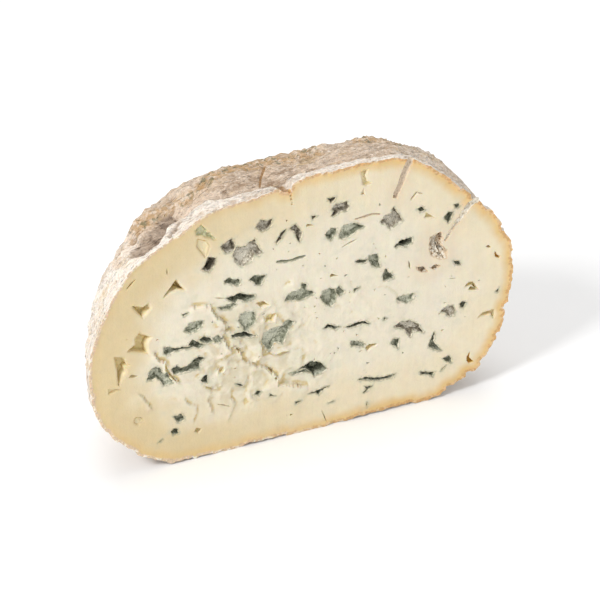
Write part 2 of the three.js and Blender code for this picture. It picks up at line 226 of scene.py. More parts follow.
# The larger openings where the curd never closed: kind, depth, and outline on the face as
# x and z in turn.
OUTLINES = [
    (GREY, 3, [-26, 119, -23.5, 122.5, -20.5, 121, -18, 121.5, -18, 118.5, -19.5, 117, -23, 116]),
    (GREY, 3, [-11, 114.5, -13.5, 113, -15.5, 109.5, -15.5, 108, -13, 110.5, -11.5, 113]),
    (GREY, 3, [-9, 114.5, -6, 116, -3, 111, -3, 109.5, -4, 106, -5.5, 108.5, -6.5, 112.5]),
    (GREY, 3.5, [-43.5, 113, -38, 116, -36.5, 112.5, -37, 109.5, -41, 109]),
    (GREY, 2.5, [-37.5, 107.5, -35.5, 111, -31, 110, -29, 112, -26.5, 113, -26, 110.5, -23, 105,
        -24.5, 104, -27, 105.5, -28.5, 102, -33, 100, -36.5, 103.5]),
    (GREY, 5, [-50, 109, -46, 107.5, -46.5, 104.5, -49.5, 101, -53, 103, -51, 105.5]),
    (BLUE, 3, [-42, 94.5, -40, 95.5, -37, 94, -34.5, 93.5, -34, 91, -36, 90.5, -38.5, 92, -41.5, 93]),
    (BLUE, 4, [-29.5, 92, -27, 94, -24.5, 93, -21.5, 92.5, -24, 88, -26, 88.5, -27.5, 90.5]),
    (BLUE, 5, [-41.5, 85, -37.5, 85, -35, 86, -30, 84, -27, 83.5, -27, 81, -31, 80.5, -35, 82.5,
        -36.5, 81]),
    (BLUE, 1.5, [-45.5, 80.5, -42, 80.5, -37, 81.5, -36, 80, -38.5, 78.5, -43, 78.5]),
    (BLUE, 2.5, [-35.5, 71.5, -34, 74.5, -31, 75, -27, 73.5, -26, 69.5, -27.5, 67.5, -30, 65.5, -30, 63.5,
        -32, 64, -33, 67, -34.5, 69.5]),
    (BLUE, 7, [-39, 64.5, -36, 64.5, -32, 64, -29, 62, -26, 60, -30.5, 61, -34.5, 62, -38.5, 63]),
    (BLUE, 3.5, [-22.5, 60.5, -18, 62.5, -14, 63, -9.5, 65, -6.5, 63, -9.5, 60, -11.5, 56.5, -13, 53,
        -16, 54.5, -18, 53.5, -19.5, 50.5, -22, 53.5, -23.5, 57.5]),
    (BLUE, 2.5, [-62.5, 72.5, -60, 76, -56.5, 76.5, -53, 76, -53.5, 73.5, -56.5, 71, -59, 70.5]),
    (BLUE, 4, [-55, 66, -52.5, 67, -49.5, 65.5, -48.5, 64, -51.5, 63, -54, 64.5]),
    (BLUE, 1.5, [-48.5, 65.5, -46, 66.5, -43.5, 64, -44.5, 62.5, -47.5, 63]),
    (BLUE, 4, [-60.5, 64.5, -58.5, 66.5, -56.5, 65, -52.5, 62.5, -55, 61, -57.5, 62.5, -59.5, 63.5]),
    (BLUE, 3, [-72.5, 66, -70, 65.5, -67, 64, -63, 64, -63.5, 63, -66.5, 62.5, -68, 62.5, -71, 61,
        -72.5, 62.5]),
    (BLUE, 3, [-81.5, 51.5, -80, 55, -78, 56.5, -75.5, 56, -73.5, 52, -72, 52.5, -70, 50, -69, 46,
        -73.5, 45.5, -75, 48.5, -77, 51, -79.5, 50, -81.5, 50.5]),
    (BLUE, 4, [-69, 53, -66.5, 54.5, -64.5, 52.5, -61, 53, -58, 55.5, -55.5, 56.5, -52.5, 54.5, -55.5, 53,
        -55.5, 50, -59, 50, -62, 50, -66, 50, -68, 50]),
    (BLUE, 3, [-55, 43.5, -53.5, 45.5, -51.5, 45.5, -51.5, 41.5, -54, 42]),
    (BLUE, 3, [-69, 27, -66.5, 27, -65, 27.5, -63.5, 24, -66, 23, -67.5, 24]),
    (BLUE, 3, [-70.5, 18.5, -69, 20, -67, 19, -66.5, 16.5, -69.5, 16.5]),
    (CLEAN, 4, [-87.5, 92, -85, 91, -82, 90, -79.5, 91.5, -78.5, 88.5, -80.5, 86.5, -82.5, 84.5,
        -85, 88]),
    (CLEAN, 4, [-86.5, 74.5, -84, 77, -81.5, 75, -78.5, 73, -80, 72, -81, 69, -80.5, 64.5, -83.5, 65.5,
        -90.5, 68.5, -86.5, 71]),
    (CLEAN, 4, [-97, 67, -92.5, 65.5, -91.5, 62, -89.5, 60.5, -92, 60, -92, 57, -94, 55, -95.5, 51,
        -96, 59.5]),
    (CLEAN, 2, [-90.5, 54.5, -89, 55.5, -86, 54, -88, 53.5]),
    (CLEAN, 5, [-65.5, 100.5, -64.5, 98.5, -61.5, 94, -65, 95.5, -68.5, 95, -72, 93, -68, 97.5,
        -66.5, 99.5]),
    (GREEN, 2, [-56, 124.5, -53, 127, -50.5, 124, -45.5, 117, -48.5, 118, -52, 120.5, -55.5, 121.5]),
    (CLEAN, 1.2, [-54.5, 119.5, -50.5, 117.5, -49, 114.5, -51, 109, -53, 112, -55, 115.5]),
    (GREY, 3, [12.5, 120, 14, 122, 20, 122, 21, 119, 20, 117, 17, 117.5, 14.5, 116.5, 12, 116.5,
        13.5, 118.5]),
    (GREY, 2.5, [10, 126, 14, 126, 13, 124, 11.5, 123.5]),
    (BLUE, 2.5, [9, 107, 12, 109.5, 15, 108.5, 14.5, 106, 12, 103, 10, 105]),
    (BLUE, 2.5, [16.5, 105.5, 18.5, 109.5, 24, 109.5, 29, 106.5, 25.5, 105.5, 21.5, 103, 18.5, 102.5,
        16.5, 103.5]),
    (GREY, 3, [37.5, 107, 40, 110, 43, 110, 44, 113.5, 46, 110.5, 49, 105, 46, 104, 43, 102, 40.5, 105,
        38, 106]),
    (BLUE, 7, [45, 92, 48, 94.5, 54, 95, 54, 92, 51, 90.5, 48.5, 91.5]),
    (BLUE, 3, [31.5, 90.5, 36, 90, 37.5, 82.5, 34.5, 83.5, 32.5, 86, 31.5, 88]),
    (BLUE, 2.5, [24.5, 89, 26.5, 89.5, 29, 88.5, 31.5, 88.5, 29.5, 87, 26, 87.5]),
    (BLUE, 4, [39, 77.5, 40.5, 81, 42, 78.5, 45, 76, 44.5, 74.5, 39.5, 74.5]),
    (BLUE, 3.5, [71, 102, 73, 104, 75.5, 103.5, 74.5, 100, 73, 98, 72, 100]),
    (PINK, 3, [63.5, 86.5, 64, 92.5, 69, 94, 70.5, 90.5, 69.5, 86.5, 73, 83, 72.5, 79, 69, 79.5,
        64.5, 82.5]),
    (BLUE, 2.5, [-11.5, 76, -9.5, 79, -7, 80, -3.5, 80.5, -3, 83.5, -0.5, 82.5, -1, 79.5, 3.5, 76.5,
        0.5, 75, -4.5, 74.5, -9.5, 75.5]),
    (BLUE, 3.5, [6.5, 73.5, 8, 76.5, 11, 77.5, 14, 76, 15, 73.5, 14.5, 69.5, 12.5, 67, 9.5, 69,
        7.5, 71.5]),
    (BLUE, 2.5, [14.5, 75.5, 16, 77.5, 19, 73.5, 16.5, 72, 15, 73.5]),
    (BLUE, 2, [46.5, 63, 50.5, 63.5, 55.5, 63.5, 55, 60.5, 52.5, 59, 48, 61]),
    (BLUE, 4, [8, 56, 10.5, 57.5, 14, 55.5, 17, 54.5, 15, 53.5, 11.5, 55.5, 9, 55.5]),
    (BLUE, 5, [20, 53.5, 23, 54, 26.5, 55, 29.5, 54.5, 32.5, 52.5, 32, 52, 29, 53.5, 25.5, 53, 22, 52.5]),
    (GREY, 2.5, [45.5, 47.5, 48.5, 49, 54.5, 48.5, 58.5, 45.5, 59.5, 43, 61.5, 40, 58, 41.5, 55.5, 43,
        54.5, 39, 53, 41, 51, 44.5, 46.5, 46.5]),
    (BLUE, 2.5, [44, 38, 45, 40.5, 48.5, 40, 48, 37, 48, 34, 46.5, 36]),
    (BLUE, 1.5, [22.5, 43.5, 23, 45, 27.5, 43.5, 30, 41.5, 29.5, 40, 25.5, 41.5, 23, 42]),
    (CLEAN, 3, [30.5, 39, 32.5, 40.5, 36.5, 40, 36, 39, 33.5, 38.5, 31.5, 37]),
    (BLUE, 3.5, [64.5, 32, 66, 35, 67, 38.5, 67.5, 38, 67, 33.5, 69, 30.5, 71.5, 27, 67.5, 28.5,
        65, 30.5]),
    (BLUE, 3, [72.5, 22, 75.5, 23, 77, 21, 77, 18.5, 74.5, 20]),
    (BLUE, 6, [-5, 36.5, -1, 38, 2, 39, 7, 37, 10, 32.5, 6.5, 31, 3.5, 30, 2, 33, -1, 36]),
    (BLUE, 1.2, [-9.5, 35, -6, 35.5, -1, 35.5, 2, 32.5, -1, 34, -5.5, 34, -7.5, 33.5]),
    (BLUE, 3, [26.5, 22, 31, 22.5, 34.5, 21, 39.5, 20, 46.5, 20, 45, 18.5, 39.5, 18.5, 34.5, 19.5,
        30, 21]),
    (BLUE, 3, [0.5, 21, 5.5, 21.5, 11.5, 22.5, 7.5, 20.5, 6, 19, 4.5, 20.5]),
    (BLUE, 3, [29.5, 14, 31.5, 15.5, 30, 17.5, 32, 16.5, 34.5, 16.5, 32, 15, 30, 13.5]),
    (BLUE, 3, [62.5, 17.5, 64.5, 16, 68, 15.5, 67, 13, 65, 15]),
    (GREY, 2, [70.5, 49.5, 74, 52, 77, 51.5, 78, 48.5, 77.5, 45.5, 75, 46, 73, 48.5]),
    (BLUE, 2.5, [80.5, 51.5, 82, 52.5, 84, 51.5, 82.5, 49, 81, 49.5]),
    (CLEAN, 2.5, [91, 41, 93.5, 43, 99.5, 43.5, 100, 40.5, 99.5, 38.5, 98, 41, 94, 41]),
    (ORANGE, 3, [85.5, 20, 87, 22.5, 87, 19, 89.5, 16, 87, 15.5, 85.5, 17.5]),
    (ORANGE, 2.5, [98.5, 76.5, 99.5, 76, 100, 74.5, 102, 73, 101.5, 72, 99, 73.5]),
    (ORANGE, 2, [93.5, 80.5, 95, 81, 96.5, 79.5, 95, 79.5]),
    (CLEAN, 3, [83, 60.5, 85.5, 62.5, 88, 62, 90.5, 57.5, 88.5, 58, 87, 60.5]),
    (CLEAN, 2, [27, 136, 28.5, 137, 30, 136.5, 29, 134, 30, 130.5, 32, 129, 29.5, 128.5, 28, 129.5,
        27.5, 132.5]),
]
# Small openings: kind, x, z, length, width, turn in degrees, depth, corners.
SMALL_OPENINGS = [
    (BLUE, -62, 81.5, 4.5, 1.9, 25, 3, 3),
    (BLUE, -61.5, 63, 11, 2.0, -5, 3, 2), (BLUE, -34.5, 35, 6, 1.9, -35, 2, 2),
    (BLUE, -26, 28.5, 3.5, 2.5, 10, 2, 4), (BLUE, -19, 25.5, 3.5, 1.6, -20, 2, 3),
    (BLUE, -76, 14.5, 3, 0.7, 30, 2, 2), (BLUE, 25, 73.5, 4.5, 1.9, 15, 3, 3),
    (BLUE, 40.5, 53.5, 2.5, 1.7, -5, 2, 3), (BLUE, 72.5, 16.5, 3.5, 1, 40, 2, 2),
    (BLUE, 63, 16, 10.5, 1.7, -20, 3, 3), (BLUE, -5.5, 18, 4, 1.7, 5, 2, 3),
    (BLUE, 12.5, 13, 3.5, 0.8, 10, 1.5, 2), (BLUE, 31.5, 6.5, 3, 1.2, 90, 1.5, 2),
    (BLUE, 101, 54, 2.5, 1.5, 50, 1.5, 3), (BLUE, 58.5, 109, 4, 2.5, -20, 2.5, 4),
    (BLUE, 77.5, 106.5, 3.5, 2.5, -35, 2, 4), (BLUE, 78.5, 75, 4.5, 2.5, -40, 2.5, 4),
    (CLEAN, -70, 106, 3.5, 1.1, -90, 2, 2), (CLEAN, -44.5, 85.5, 6, 1.3, -15, 2, 2),
    (CLEAN, -98.5, 49, 8, 3, -5, 1.5, 3), (CLEAN, -86.5, 29, 4.5, 4.5, -25, 1, 5),
    (CLEAN, -57, 15.5, 3.5, 3, 10, 2.5, 4), (CLEAN, -43.5, 26, 7, 1.1, -25, 2, 2),
    (CLEAN, -44.5, 46.5, 4, 3, 40, 2.5, 4), (CLEAN, -23, 77, 7.5, 3.5, -20, 3, 4),
    (CLEAN, -19, 68.5, 6.5, 4.5, 30, 2.5, 4), (CLEAN, 87, 58.5, 7, 2.5, -25, 3, 3),
    (CLEAN, 0.5, 114, 5.5, 1.9, -10, 2, 3), (CLEAN, 21.5, 99.5, 9, 1.4, 20, 1.5, 2),
    (CLEAN, 62.5, 104.5, 6.5, 2.5, -30, 2, 3), (CLEAN, 54.5, 117, 5, 1.2, 45, 2, 2),
    (CLEAN, 57.5, 118, 4, 1.1, -20, 2, 2), (CLEAN, 53, 80, 5, 1.9, -80, 3.5, 2),
    (CLEAN, 13, 84, 5.5, 2, -15, 3, 3), (CLEAN, 76, 67, 4, 0.8, -10, 1.5, 2),
    (CLEAN, 28, 125, 4, 2.5, 85, 1.2, 3), (CLEAN, -13.5, 47, 8, 3, 0, 1.5, 4),
    (ORANGE, -87.5, 104, 7, 1.3, 45, 2, 2), (ORANGE, 9, 5.5, 8, 0.8, -70, 2, 2),
    (GREY, 3, 118, 3.5, 2, 10, 2.5, 3),
    (PINK, 59.5, 76, 6.5, 3, -35, 2, 4), (PINK, 66.5, 75.5, 5.5, 2.5, 0, 2.5, 4),
]
# Needle channels, slits and cracks laid open in the cut: kind, path on the face as x and z in
# turn, width at each of its corners, depth.
TRENCHES = [
    (BROWN, [54.2, 142, 52.3, 137, 49, 129.7, 45.6, 121.1, 44.6, 118.4], [3.8, 3.3, 3.2, 3.0, 2.0], 1.3),
    (PINK, [91.4, 112, 88.6, 107.9, 84.1, 105, 81.2, 101.3, 77.6, 96.9], [4.8, 4.0, 3.4, 3.0, 2.2], 1.2),
    (PINK, [77.9, 97.4, 73.5, 91.8, 71.5, 88.9], [1.7, 1.3, 0.8], 1.0),
    (ORANGE, [-9.6, 135.4, -8.9, 133.4], [1.6, 0.8], 0.9),
    (ORANGE, [-8.8, 132.6, -8.5, 131.2], [1.0, 0.6], 0.8),
    (ORANGE, [-8.5, 130.6, -8.2, 129.4], [0.8, 0.9], 0.7),
    (ORANGE, [-8.1, 128.4, -7.9, 126.8], [0.5, 0.7], 0.6),
    (BLUE, [-16, 98.5, -13.5, 98, -10.5, 97.5, -8, 97.5, -5, 98, -2.5, 98,
        -1, 98], [0.6, 1.5, 1.2, 0.9, 1.6, 1.1, 0.5], 2.6),
    (BROWN, [24, 111.5, 29, 112, 33, 112.4, 37, 111.5], [0.4, 1.0, 0.8, 0.4], 0.8),
    (CLEAN, [-72, 58, -71.5, 53.5, -69.5, 49.5, -67, 46], [0.3, 1.1, 1.0, 0.3], 2.4),
    (CLEAN, [-37.5, 57, -34.5, 54.5], [0.9, 1.2], 3.0),
    (CLEAN, [-20.2, 41, -18, 38], [1.1, 1.4], 3.0),
    (CLEAN, [-17.4, 35.8, -16.5, 34.2], [1.0, 1.0], 2.6),
]
# The first rows are the needle channels. Paste turns pink near them and near the pink openings,
# and grey-green near the mouldy ones, over these distances.
NEEDLE_ROWS = 3
PINK_REACH = 6
HALO_REACH = 2.2
# Tiny openings, scattered by seed: how many, their size, and the part of them with mould.
SPECK_COUNT = 70
SPECK_SIZES = (0.5, 1.3)
MOULDY_SPECKS = 0.2
# They lie thickest about a middle, inside an oval, and this far from the larger openings.
SPECK_MIDDLE, SPECK_SPREAD = (8, 62), (42, 30)
SPECK_OVAL = ((0, 66), (98, 60))
SPECK_GAP = 1.2
# How far an opening's outline strays where it is mouldy, and where its wall is clean.
MOULDY_STRAY, CLEAN_STRAY = 0.17, 0.06
SMALL_MOULDY_STRAY, SMALL_CLEAN_STRAY = 0.12, 0.05
CLEAN_KINDS = (CLEAN, ORANGE)


# Numbers
HASH_PRIMES = np.array([73856093, 19349663, 83492791], dtype=np.int64)
HASH_SEED_STEP = 2654435761
HASH_FACTOR = 1274126177
HASH_MASK = 0x7FFFFFFF
# Moves the noise's cells off the whole numbers, and stretches its range to about -1 to 1.
NOISE_OFFSET = 0.371
NOISE_GAIN = 1.7


def columns(*parts):
    """Coordinates side by side, one row for each point. A part may be a single number."""
    return np.stack(np.broadcast_arrays(*parts), axis=1)


def smooth(low, high, value):
    """0 at low, 1 at high, with smooth ends."""
    t = np.clip((value - low) / (high - low), 0, 1)
    return t * t * (3 - 2 * t)


def gradients(cells, seed):
    """A repeatable vector of -1 to 1 for each whole-number cell."""
    state = (cells * HASH_PRIMES).sum(axis=1) + seed * HASH_SEED_STEP
    parts = []
    for _ in range(3):
        state = (state ^ (state >> 13)) * HASH_FACTOR & HASH_MASK
        parts.append(((state >> 9) & 0xFFFF) / 32767.5 - 1)
    return np.stack(parts, axis=1)


def noise(points, size, seed=0):
    """Smooth noise of about -1 to 1. Size is the width of a lump, one number or three."""
    places = points / np.asarray(size, dtype=float) + NOISE_OFFSET
    cells = np.floor(places).astype(np.int64)
    part = places - cells
    ease = part ** 3 * (part * (part * 6 - 15) + 10)
    total = np.zeros(len(points))
    for corner in itertools.product((0, 1), repeat=3):
        step = np.array(corner)
        slope = (gradients(cells + step, seed + SEED) * (part - step)).sum(axis=1)
        total += slope * np.where(step == 1, ease, 1 - ease).prod(axis=1)
    return total * NOISE_GAIN


def layered(points, layers):
    """Several noises together, from the height, size and seed of each."""
    return sum(height * noise(points, size, seed) for height, size, seed in layers)


def oval(x, z, middle, reach):
    """How far out a place on the face lies: 0 in the middle of an oval, 1 on its edge."""
    return np.hypot((x - middle[0]) / reach[0], (z - middle[1]) / reach[1])


def to_frame(points):
    """Working millimetres to the frame's metres."""
    moved = np.asarray(points, dtype=float) * MM
    moved[:, 1] += CUT_PLANE
    return moved


def travelled(path):
    """Distance along a path to each of its corners."""
    return np.concatenate([[0], np.cumsum(np.hypot(*np.diff(path, axis=0).T))])


def spread_along(path, values, step, least=3):
    """Points at even steps along a path, with values given at its corners."""
    path = np.array(path, float).reshape(-1, 2)
    along = travelled(path)
    wanted = np.linspace(0, along[-1], max(least, int(along[-1] / step) + 1))
    points = columns(*(np.interp(wanted, along, part) for part in path.T))
    return points, np.interp(wanted, along, values), wanted


# The rind's surface
def section_at(section, station):
    """Half width and height of one side's section, with the stations joined smoothly."""
    index = np.minimum(np.floor(station).astype(int), LAST_STATION - 1)
    part = (station - index)[:, None]
    before, here, after, beyond = (
        section[np.clip(index + k, 0, LAST_STATION)] for k in (-1, 0, 1, 2)
    )
    rise = after - here
    bend = (1 - part) * ((after - before) / 2 - rise) - part * ((beyond - here) / 2 - rise)
    joined = here + part * rise + part * (1 - part) * bend
    height = np.where(index < 1, 0, np.maximum(0, joined[:, 1]))
    return joined[:, 0], height


def wheel_ring(station, angle):
    """Radius and height of the bare wheel at a station of its section and an angle."""
    right_half, right_height = section_at(RIGHT_SECTION, station)
    left_half, left_height = section_at(LEFT_SECTION, station)
    share = smooth(BLEND_FROM, math.pi - BLEND_FROM, angle)
    half = right_half + (left_half - right_half) * share
    return np.hypot(half, AXIS_OFFSET), right_height + (left_height - right_height) * share


def slice_side(stations, reach, left):
    """One side of a slice, base to top."""
    angle = np.full(stations.shape, math.pi * (0.75 if left else 0.25))
    for _ in range(ANGLE_ROUNDS):
        radius, height = wheel_ring(stations, angle)
        from_side = np.arcsin(np.clip(reach / radius, -1, 1))
        angle = math.pi - from_side if left else from_side
    across = np.sqrt(np.maximum(radius ** 2 - reach ** 2, 0))
    return columns(-across if left else across, height)


def slice_curve(y, count):
    """The bare wheel's outline in the plane y, as count points spread evenly round it."""
    reach = y + AXIS_OFFSET
    stations = np.linspace(0, LAST_STATION, SECTION_SAMPLES)
    back_radius, _ = wheel_ring(stations, np.full(stations.shape, math.pi / 2))
    inside = stations[back_radius >= reach]
    spread = (1 - np.cos(np.linspace(0, math.pi, SIDE_SAMPLES))) / 2
    kept = inside[0] + (inside[-1] - inside[0]) * spread
    right = slice_side(kept, reach, left=False)
    left = slice_side(kept, reach, left=True)
    start = np.array([[0, right[0, 1]]])
    curve = np.concatenate([start, right, left[::-1], start])
    along = travelled(curve)
    wanted = np.linspace(0, along[-1], count, endpoint=False)
    x, z = (np.interp(wanted, along, curve[:, k]) for k in (0, 1))
    return columns(x, y, z), along[-1]


def outwards(points):
    """The way out of the wheel, of length 1."""
    x, y, z = points.T
    way = columns(x, y + AXIS_OFFSET, (z - WHEEL_MIDDLE) * FLATTENING)
    return way / np.linalg.norm(way, axis=1)[:, None]


def distance_to_line(points, start, end):
    """Distance from each point to the line between two places."""
    start, end = np.array(start, float), np.array(end, float)
    line = end - start
    part = np.clip((points - start) @ line / (line @ line), 0, 1)
    return np.linalg.norm(points - start - part[:, None] * line, axis=1)


def fold_depth(points):
    """Depth of the folds, with soft sides."""
    return sum(deep * np.exp(-(distance_to_line(points, start, end) / half) ** 2)
               for start, end, half, deep in FOLDS)


def dent_depth(points):
    """Depth of the hollows, and of the nicks in the edge, with steep, ragged sides."""
    wander = layered(points, HOLLOW_EDGES)
    dents, nicks = np.zeros(len(points)), np.zeros(len(points))
    for start, end, half, deep in DENTS:
        away = distance_to_line(points, start, end) / half + wander
        dents += deep * (1 - smooth(0.7, 1.0, away))
    for x, z, half, deep in NICKS:
        away = distance_to_line(points, (x, -4, z), (x, 2.5, z)) / half + wander
        nicks += deep * (1 - smooth(0.55, 1.1, away))
    return dents, nicks


def crack_share(points):
    """1 in the middle of a crack of the rind, and its depth there."""
    wander = layered(points, CRACK_EDGES)
    share, depth = np.zeros(len(points)), np.zeros(len(points))
    for start, end, half, deep in CRACKS:
        inside = 1 - smooth(0.4, 1.3, distance_to_line(points, start, end) / half + wander)
        share, depth = np.maximum(share, inside), np.maximum(depth, deep * inside)
    return share, depth


def lip_edge(points):
    """How far the soft lip reaches behind the cut, with a ragged end."""
    return np.interp(points[:, 0], LIP_PLACES, LIP_WIDTHS) + layered(points, LIP_EDGES)


def lip_share(points):
    """1 on the soft lip that the knife left along the top of the rim, 0 behind it."""
    edge, y, z = lip_edge(points), points[:, 1], points[:, 2]
    return smooth(76, 108, z) * (1 - smooth(edge - 0.8, edge + 0.8, y))


def lip_crease(points):
    """The groove behind the lip, along the top."""
    x, y, z = points.T
    away = (y - lip_edge(points) - 1.1) / 0.9
    return smooth(-52, -40, x) * smooth(100, 116, z) * np.exp(-away ** 2)


def crust_share(points):
    """Where the rind is an ochre, crumbly crust: along the far shoulder, in patches."""
    x, y, z = points.T
    shoulder = smooth(15, 23, y + 0.06 * np.maximum(0, x)) * smooth(96, 118, z)
    patches = smooth(-0.25, 0.25, noise(points, 17, 8))
    return shoulder * patches


def crest(value):
    """Thin crests where smooth noise changes its sign."""
    return (1 - np.minimum(1, 2.4 * np.abs(value))) ** 1.6


def fine_relief(points):
    """Wrinkles, crust and powdery bumps of the rind, outwards in millimetres."""
    x, y, z = points.T
    side = smooth(-50, -85, x) * smooth(10, 40, z)
    upper_left = smooth(-30, -58, x) * smooth(84, 108, z) * smooth(3, 12, y)
    relief = (0.5 + 0.3 * side + 0.9 * upper_left) * crest(noise(points, (15, 4.8, 15), 1))
    relief += (0.35 + 0.3 * side + 0.6 * upper_left) * crest(noise(points, (8, 2.7, 8), 2))
    relief += layered(points, POWDER) - 0.4
    crumbs = CRUST_HEIGHT * (crest(noise(points, 5, 6)) + 0.5 * noise(points, 2.1, 7))
    return relief + crust_share(points) * crumbs


def edge_wear(points):
    """Chips along the cut edge, deepest at the very edge and on the right and lower sides."""
    x, y, z = points.T
    strength = 0.35 + 0.65 * np.maximum(smooth(40, 90, x), smooth(40, 8, z))
    bent = points + layered(points, CHIP_BENDS)[:, None]
    chips = LARGE_CHIP * smooth(0.0, 0.1, noise(bent, (13, 30, 13), 9))
    chips += SMALL_CHIP * smooth(0.1, 0.2, noise(bent, (5, 9, 5), 10))
    chips += layered(points, EDGE_GRAIN)
    return strength * chips * smooth(5, 0.8, y)


def with_relief(points):
    """Moves points of the bare wheel to where the rind really stands."""
    _, y, z = points.T
    above_base = smooth(0, RELIEF_ABOVE_BASE, z)
    fade = smooth(0, RELIEF_BEHIND_CUT, y) * above_base
    moved = points.copy()
    for centre, reach, push in SWELLINGS:
        away = (points - np.array(centre, float)) / np.array(reach, float)
        share = fade * np.exp(-(away ** 2).sum(axis=1))
        moved += share[:, None] * np.array(push, float)
    folds = smooth(0, FOLDS_BEHIND_CUT, y) * above_base * fold_depth(points)
    fine, lip, crease = fine_relief(points), lip_share(points), lip_crease(points)
    dents, nicks = dent_depth(points)
    cracked, crack_depth = crack_share(points)
    fine_fade = smooth(0.3, 5, z) * (0.45 + 0.55 * smooth(0, 4, y))
    lift = fade * layered(points, LUMPS) - folds + fine_fade * fine
    lift -= dents + nicks + CREASE_DEPTH * crease
    lift += LIP_RISE * lip * smooth(-1, 1.5, y) - edge_wear(points) - crack_depth
    moved += lift[:, None] * outwards(points)
    moved[:, 2] = np.maximum(moved[:, 2], 0)
    # How deep the hollows, folds and groove are; the rind paints shade there.
    hollow = dents + 0.35 * folds + 1.1 * crease
    return moved, {"relief": fine, "hollow": hollow, "lip": lip, "crack": cracked}


def slice_planes():
    """Distances of the slices behind the cut plane: dense near it, then ever less."""
    radius = math.hypot(RIGHT_SECTION[:, 0].max(), AXIS_OFFSET)
    angle = math.asin((FIRST_SLICE + AXIS_OFFSET) / radius)
    planes = []
    while angle < LAST_ANGLE:
        y = radius * math.sin(angle) - AXIS_OFFSET
        planes.append(y)
        angle += (DENSE_STEP if y < DENSE_UNTIL else COARSE_STEP) / radius
    return planes, radius - AXIS_OFFSET


def rind_mesh():
    """The wheel behind the cut plane as one closed mesh of slices."""
    planes, back = slice_planes()
    rows, faces = [], []
    count, first = POINTS_ROUND, 0
    previous = None
    for y in planes:
        curve, around = slice_curve(y, count)
        spacing = DENSE_SPACING if y < DENSE_UNTIL else COARSE_SPACING
        if previous and count > SPARSEST_POINTS and around / count < spacing * HALVE_BELOW:
            count //= 2
            curve, around = slice_curve(y, count)
        rows.append(curve)
        if previous:
            start, earlier = previous
            faces += strip(start, earlier, first, count)
        previous = (first, count)
        first += count
    pole = first
    rows.append(np.array([[0, back, POLE_HEIGHT]]))
    front = first + 1
    rows.append(np.array([[0, planes[0], WHEEL_MIDDLE]]))
    start, count = previous
    for k in range(count):
        faces.append((start + k, start + (k + 1) % count, pole))
    for k in range(POINTS_ROUND):
        faces.append(((k + 1) % POINTS_ROUND, k, front))
    return np.concatenate(rows), faces


def strip(start, earlier, first, count):
    """Faces between two slices, the second with as many points or half as many."""
    faces = []
    for k in range(count):
        after = (k + 1) % count
        if earlier == count:
            faces.append((start + k, start + after, first + after, first + k))
        else:
            a, b, c = start + 2 * k, start + 2 * k + 1, start + (2 * k + 2) % earlier
            faces += [(a, b, first + k), (b, c, first + after), (b, first + after, first + k)]
    return faces


# The cut
def tear_share(x, z):
    """Where the knife tore the crumbly paste instead of cutting it."""
    return 1 - smooth(0.55, 1.15, oval(x, z, *TORN))


def tear_step(x, z, path, rise, fade):
    """A step along a path: its right-hand side stands proud, its left-hand side sinks a little."""
    points = columns(x, z)
    nearest = np.full(len(points), np.inf)
    height = np.zeros(len(points))
    path = np.array(path, float).reshape(-1, 2)
    for k in range(len(path) - 1):
        line = path[k + 1] - path[k]
        part = (points - path[k]) @ line / (line @ line)
        clipped = np.clip(part, 0, 1)
        offset = points - path[k] - clipped[:, None] * line
        away = np.hypot(*offset.T)
        overrun = np.zeros(len(points))
        length = np.hypot(*line)
        if k == 0:
            overrun = np.maximum(overrun, -part * length)
        if k == len(path) - 2:
            overrun = np.maximum(overrun, (part - 1) * length)
        left = line[0] * offset[:, 1] - line[1] * offset[:, 0] > 0
        proud = np.where(left, 0.8 * np.exp(-away / (0.4 * fade)), -np.exp(-away / fade))
        proud *= np.exp(-(overrun / 2.5) ** 2)
        closer = away < nearest
        height[closer] = proud[closer]
        nearest = np.minimum(nearest, away)
    return rise * height


def face_depth(x, z, from_rim):
    """How far behind the cut plane the uneven cut face stands, in millimetres."""
    points = columns(x, 0, z)
    depth = layered(points, FACE_WAVES) + layered(points, FACE_SMEARS) * smooth(-30, 10, x)
    bent = points.copy()
    bent[:, 0] += layered(points, BENDS_ACROSS)
    bent[:, 2] += layered(points, BENDS_UP)
    torn = tear_share(x, z)
    broad = 1 - smooth(0.6, 1.1, oval(x, z, *BROKEN))
    broad *= smooth(-0.3, 0.3, noise(points, 24, 39))
    for step, size, seed in PLATES:
        level = noise(bent, size, seed)
        plate = smooth(-0.05, 0.09, level) * np.exp(-2.6 * np.maximum(level, 0))
        depth -= step * np.maximum(torn, 0.5 * broad) * (plate - 0.35)
    crumbly = np.maximum(torn, 0.4 * broad) * smooth(-0.35, 0.15, noise(points, 15, 45))
    for stand, size, seed in CRUMBS:
        depth += stand * crumbly * crumb_level(bent, size, seed)
    depth += np.maximum(torn, 0.3 * broad) * layered(points, FACE_GRAIN)
    for path, rise, fade in TEARS:
        depth += tear_step(bent[:, 0], bent[:, 2], path, rise, fade)
    return depth - smooth(2.4, 0.4, from_rim) * (0.3 + layered(points, RIM_CRUMBS))


def crumb_level(points, size, seed):
    """The level of uneven cells on the face, each with its own height and tilt, about -1 to 1."""
    places = points[:, [0, 2]] / size
    cells = np.floor(places).astype(np.int64)
    nearest = np.full(len(points), np.inf)
    level = np.zeros(len(points))
    for step in itertools.product((-1, 0, 1), repeat=2):
        cell = cells + np.array(step)
        drawn = gradients(columns(cell[:, 0], 0, cell[:, 1]), seed)
        offset = places - cell - 0.5 - 0.42 * drawn[:, :2]
        away = np.hypot(*offset.T)
        own = 0.6 * drawn[:, 2] + 1.1 * (offset * drawn[:, [1, 2]]).sum(axis=1)
        closer = away < nearest
        level[closer] = own[closer]
        nearest = np.minimum(nearest, away)
    return level


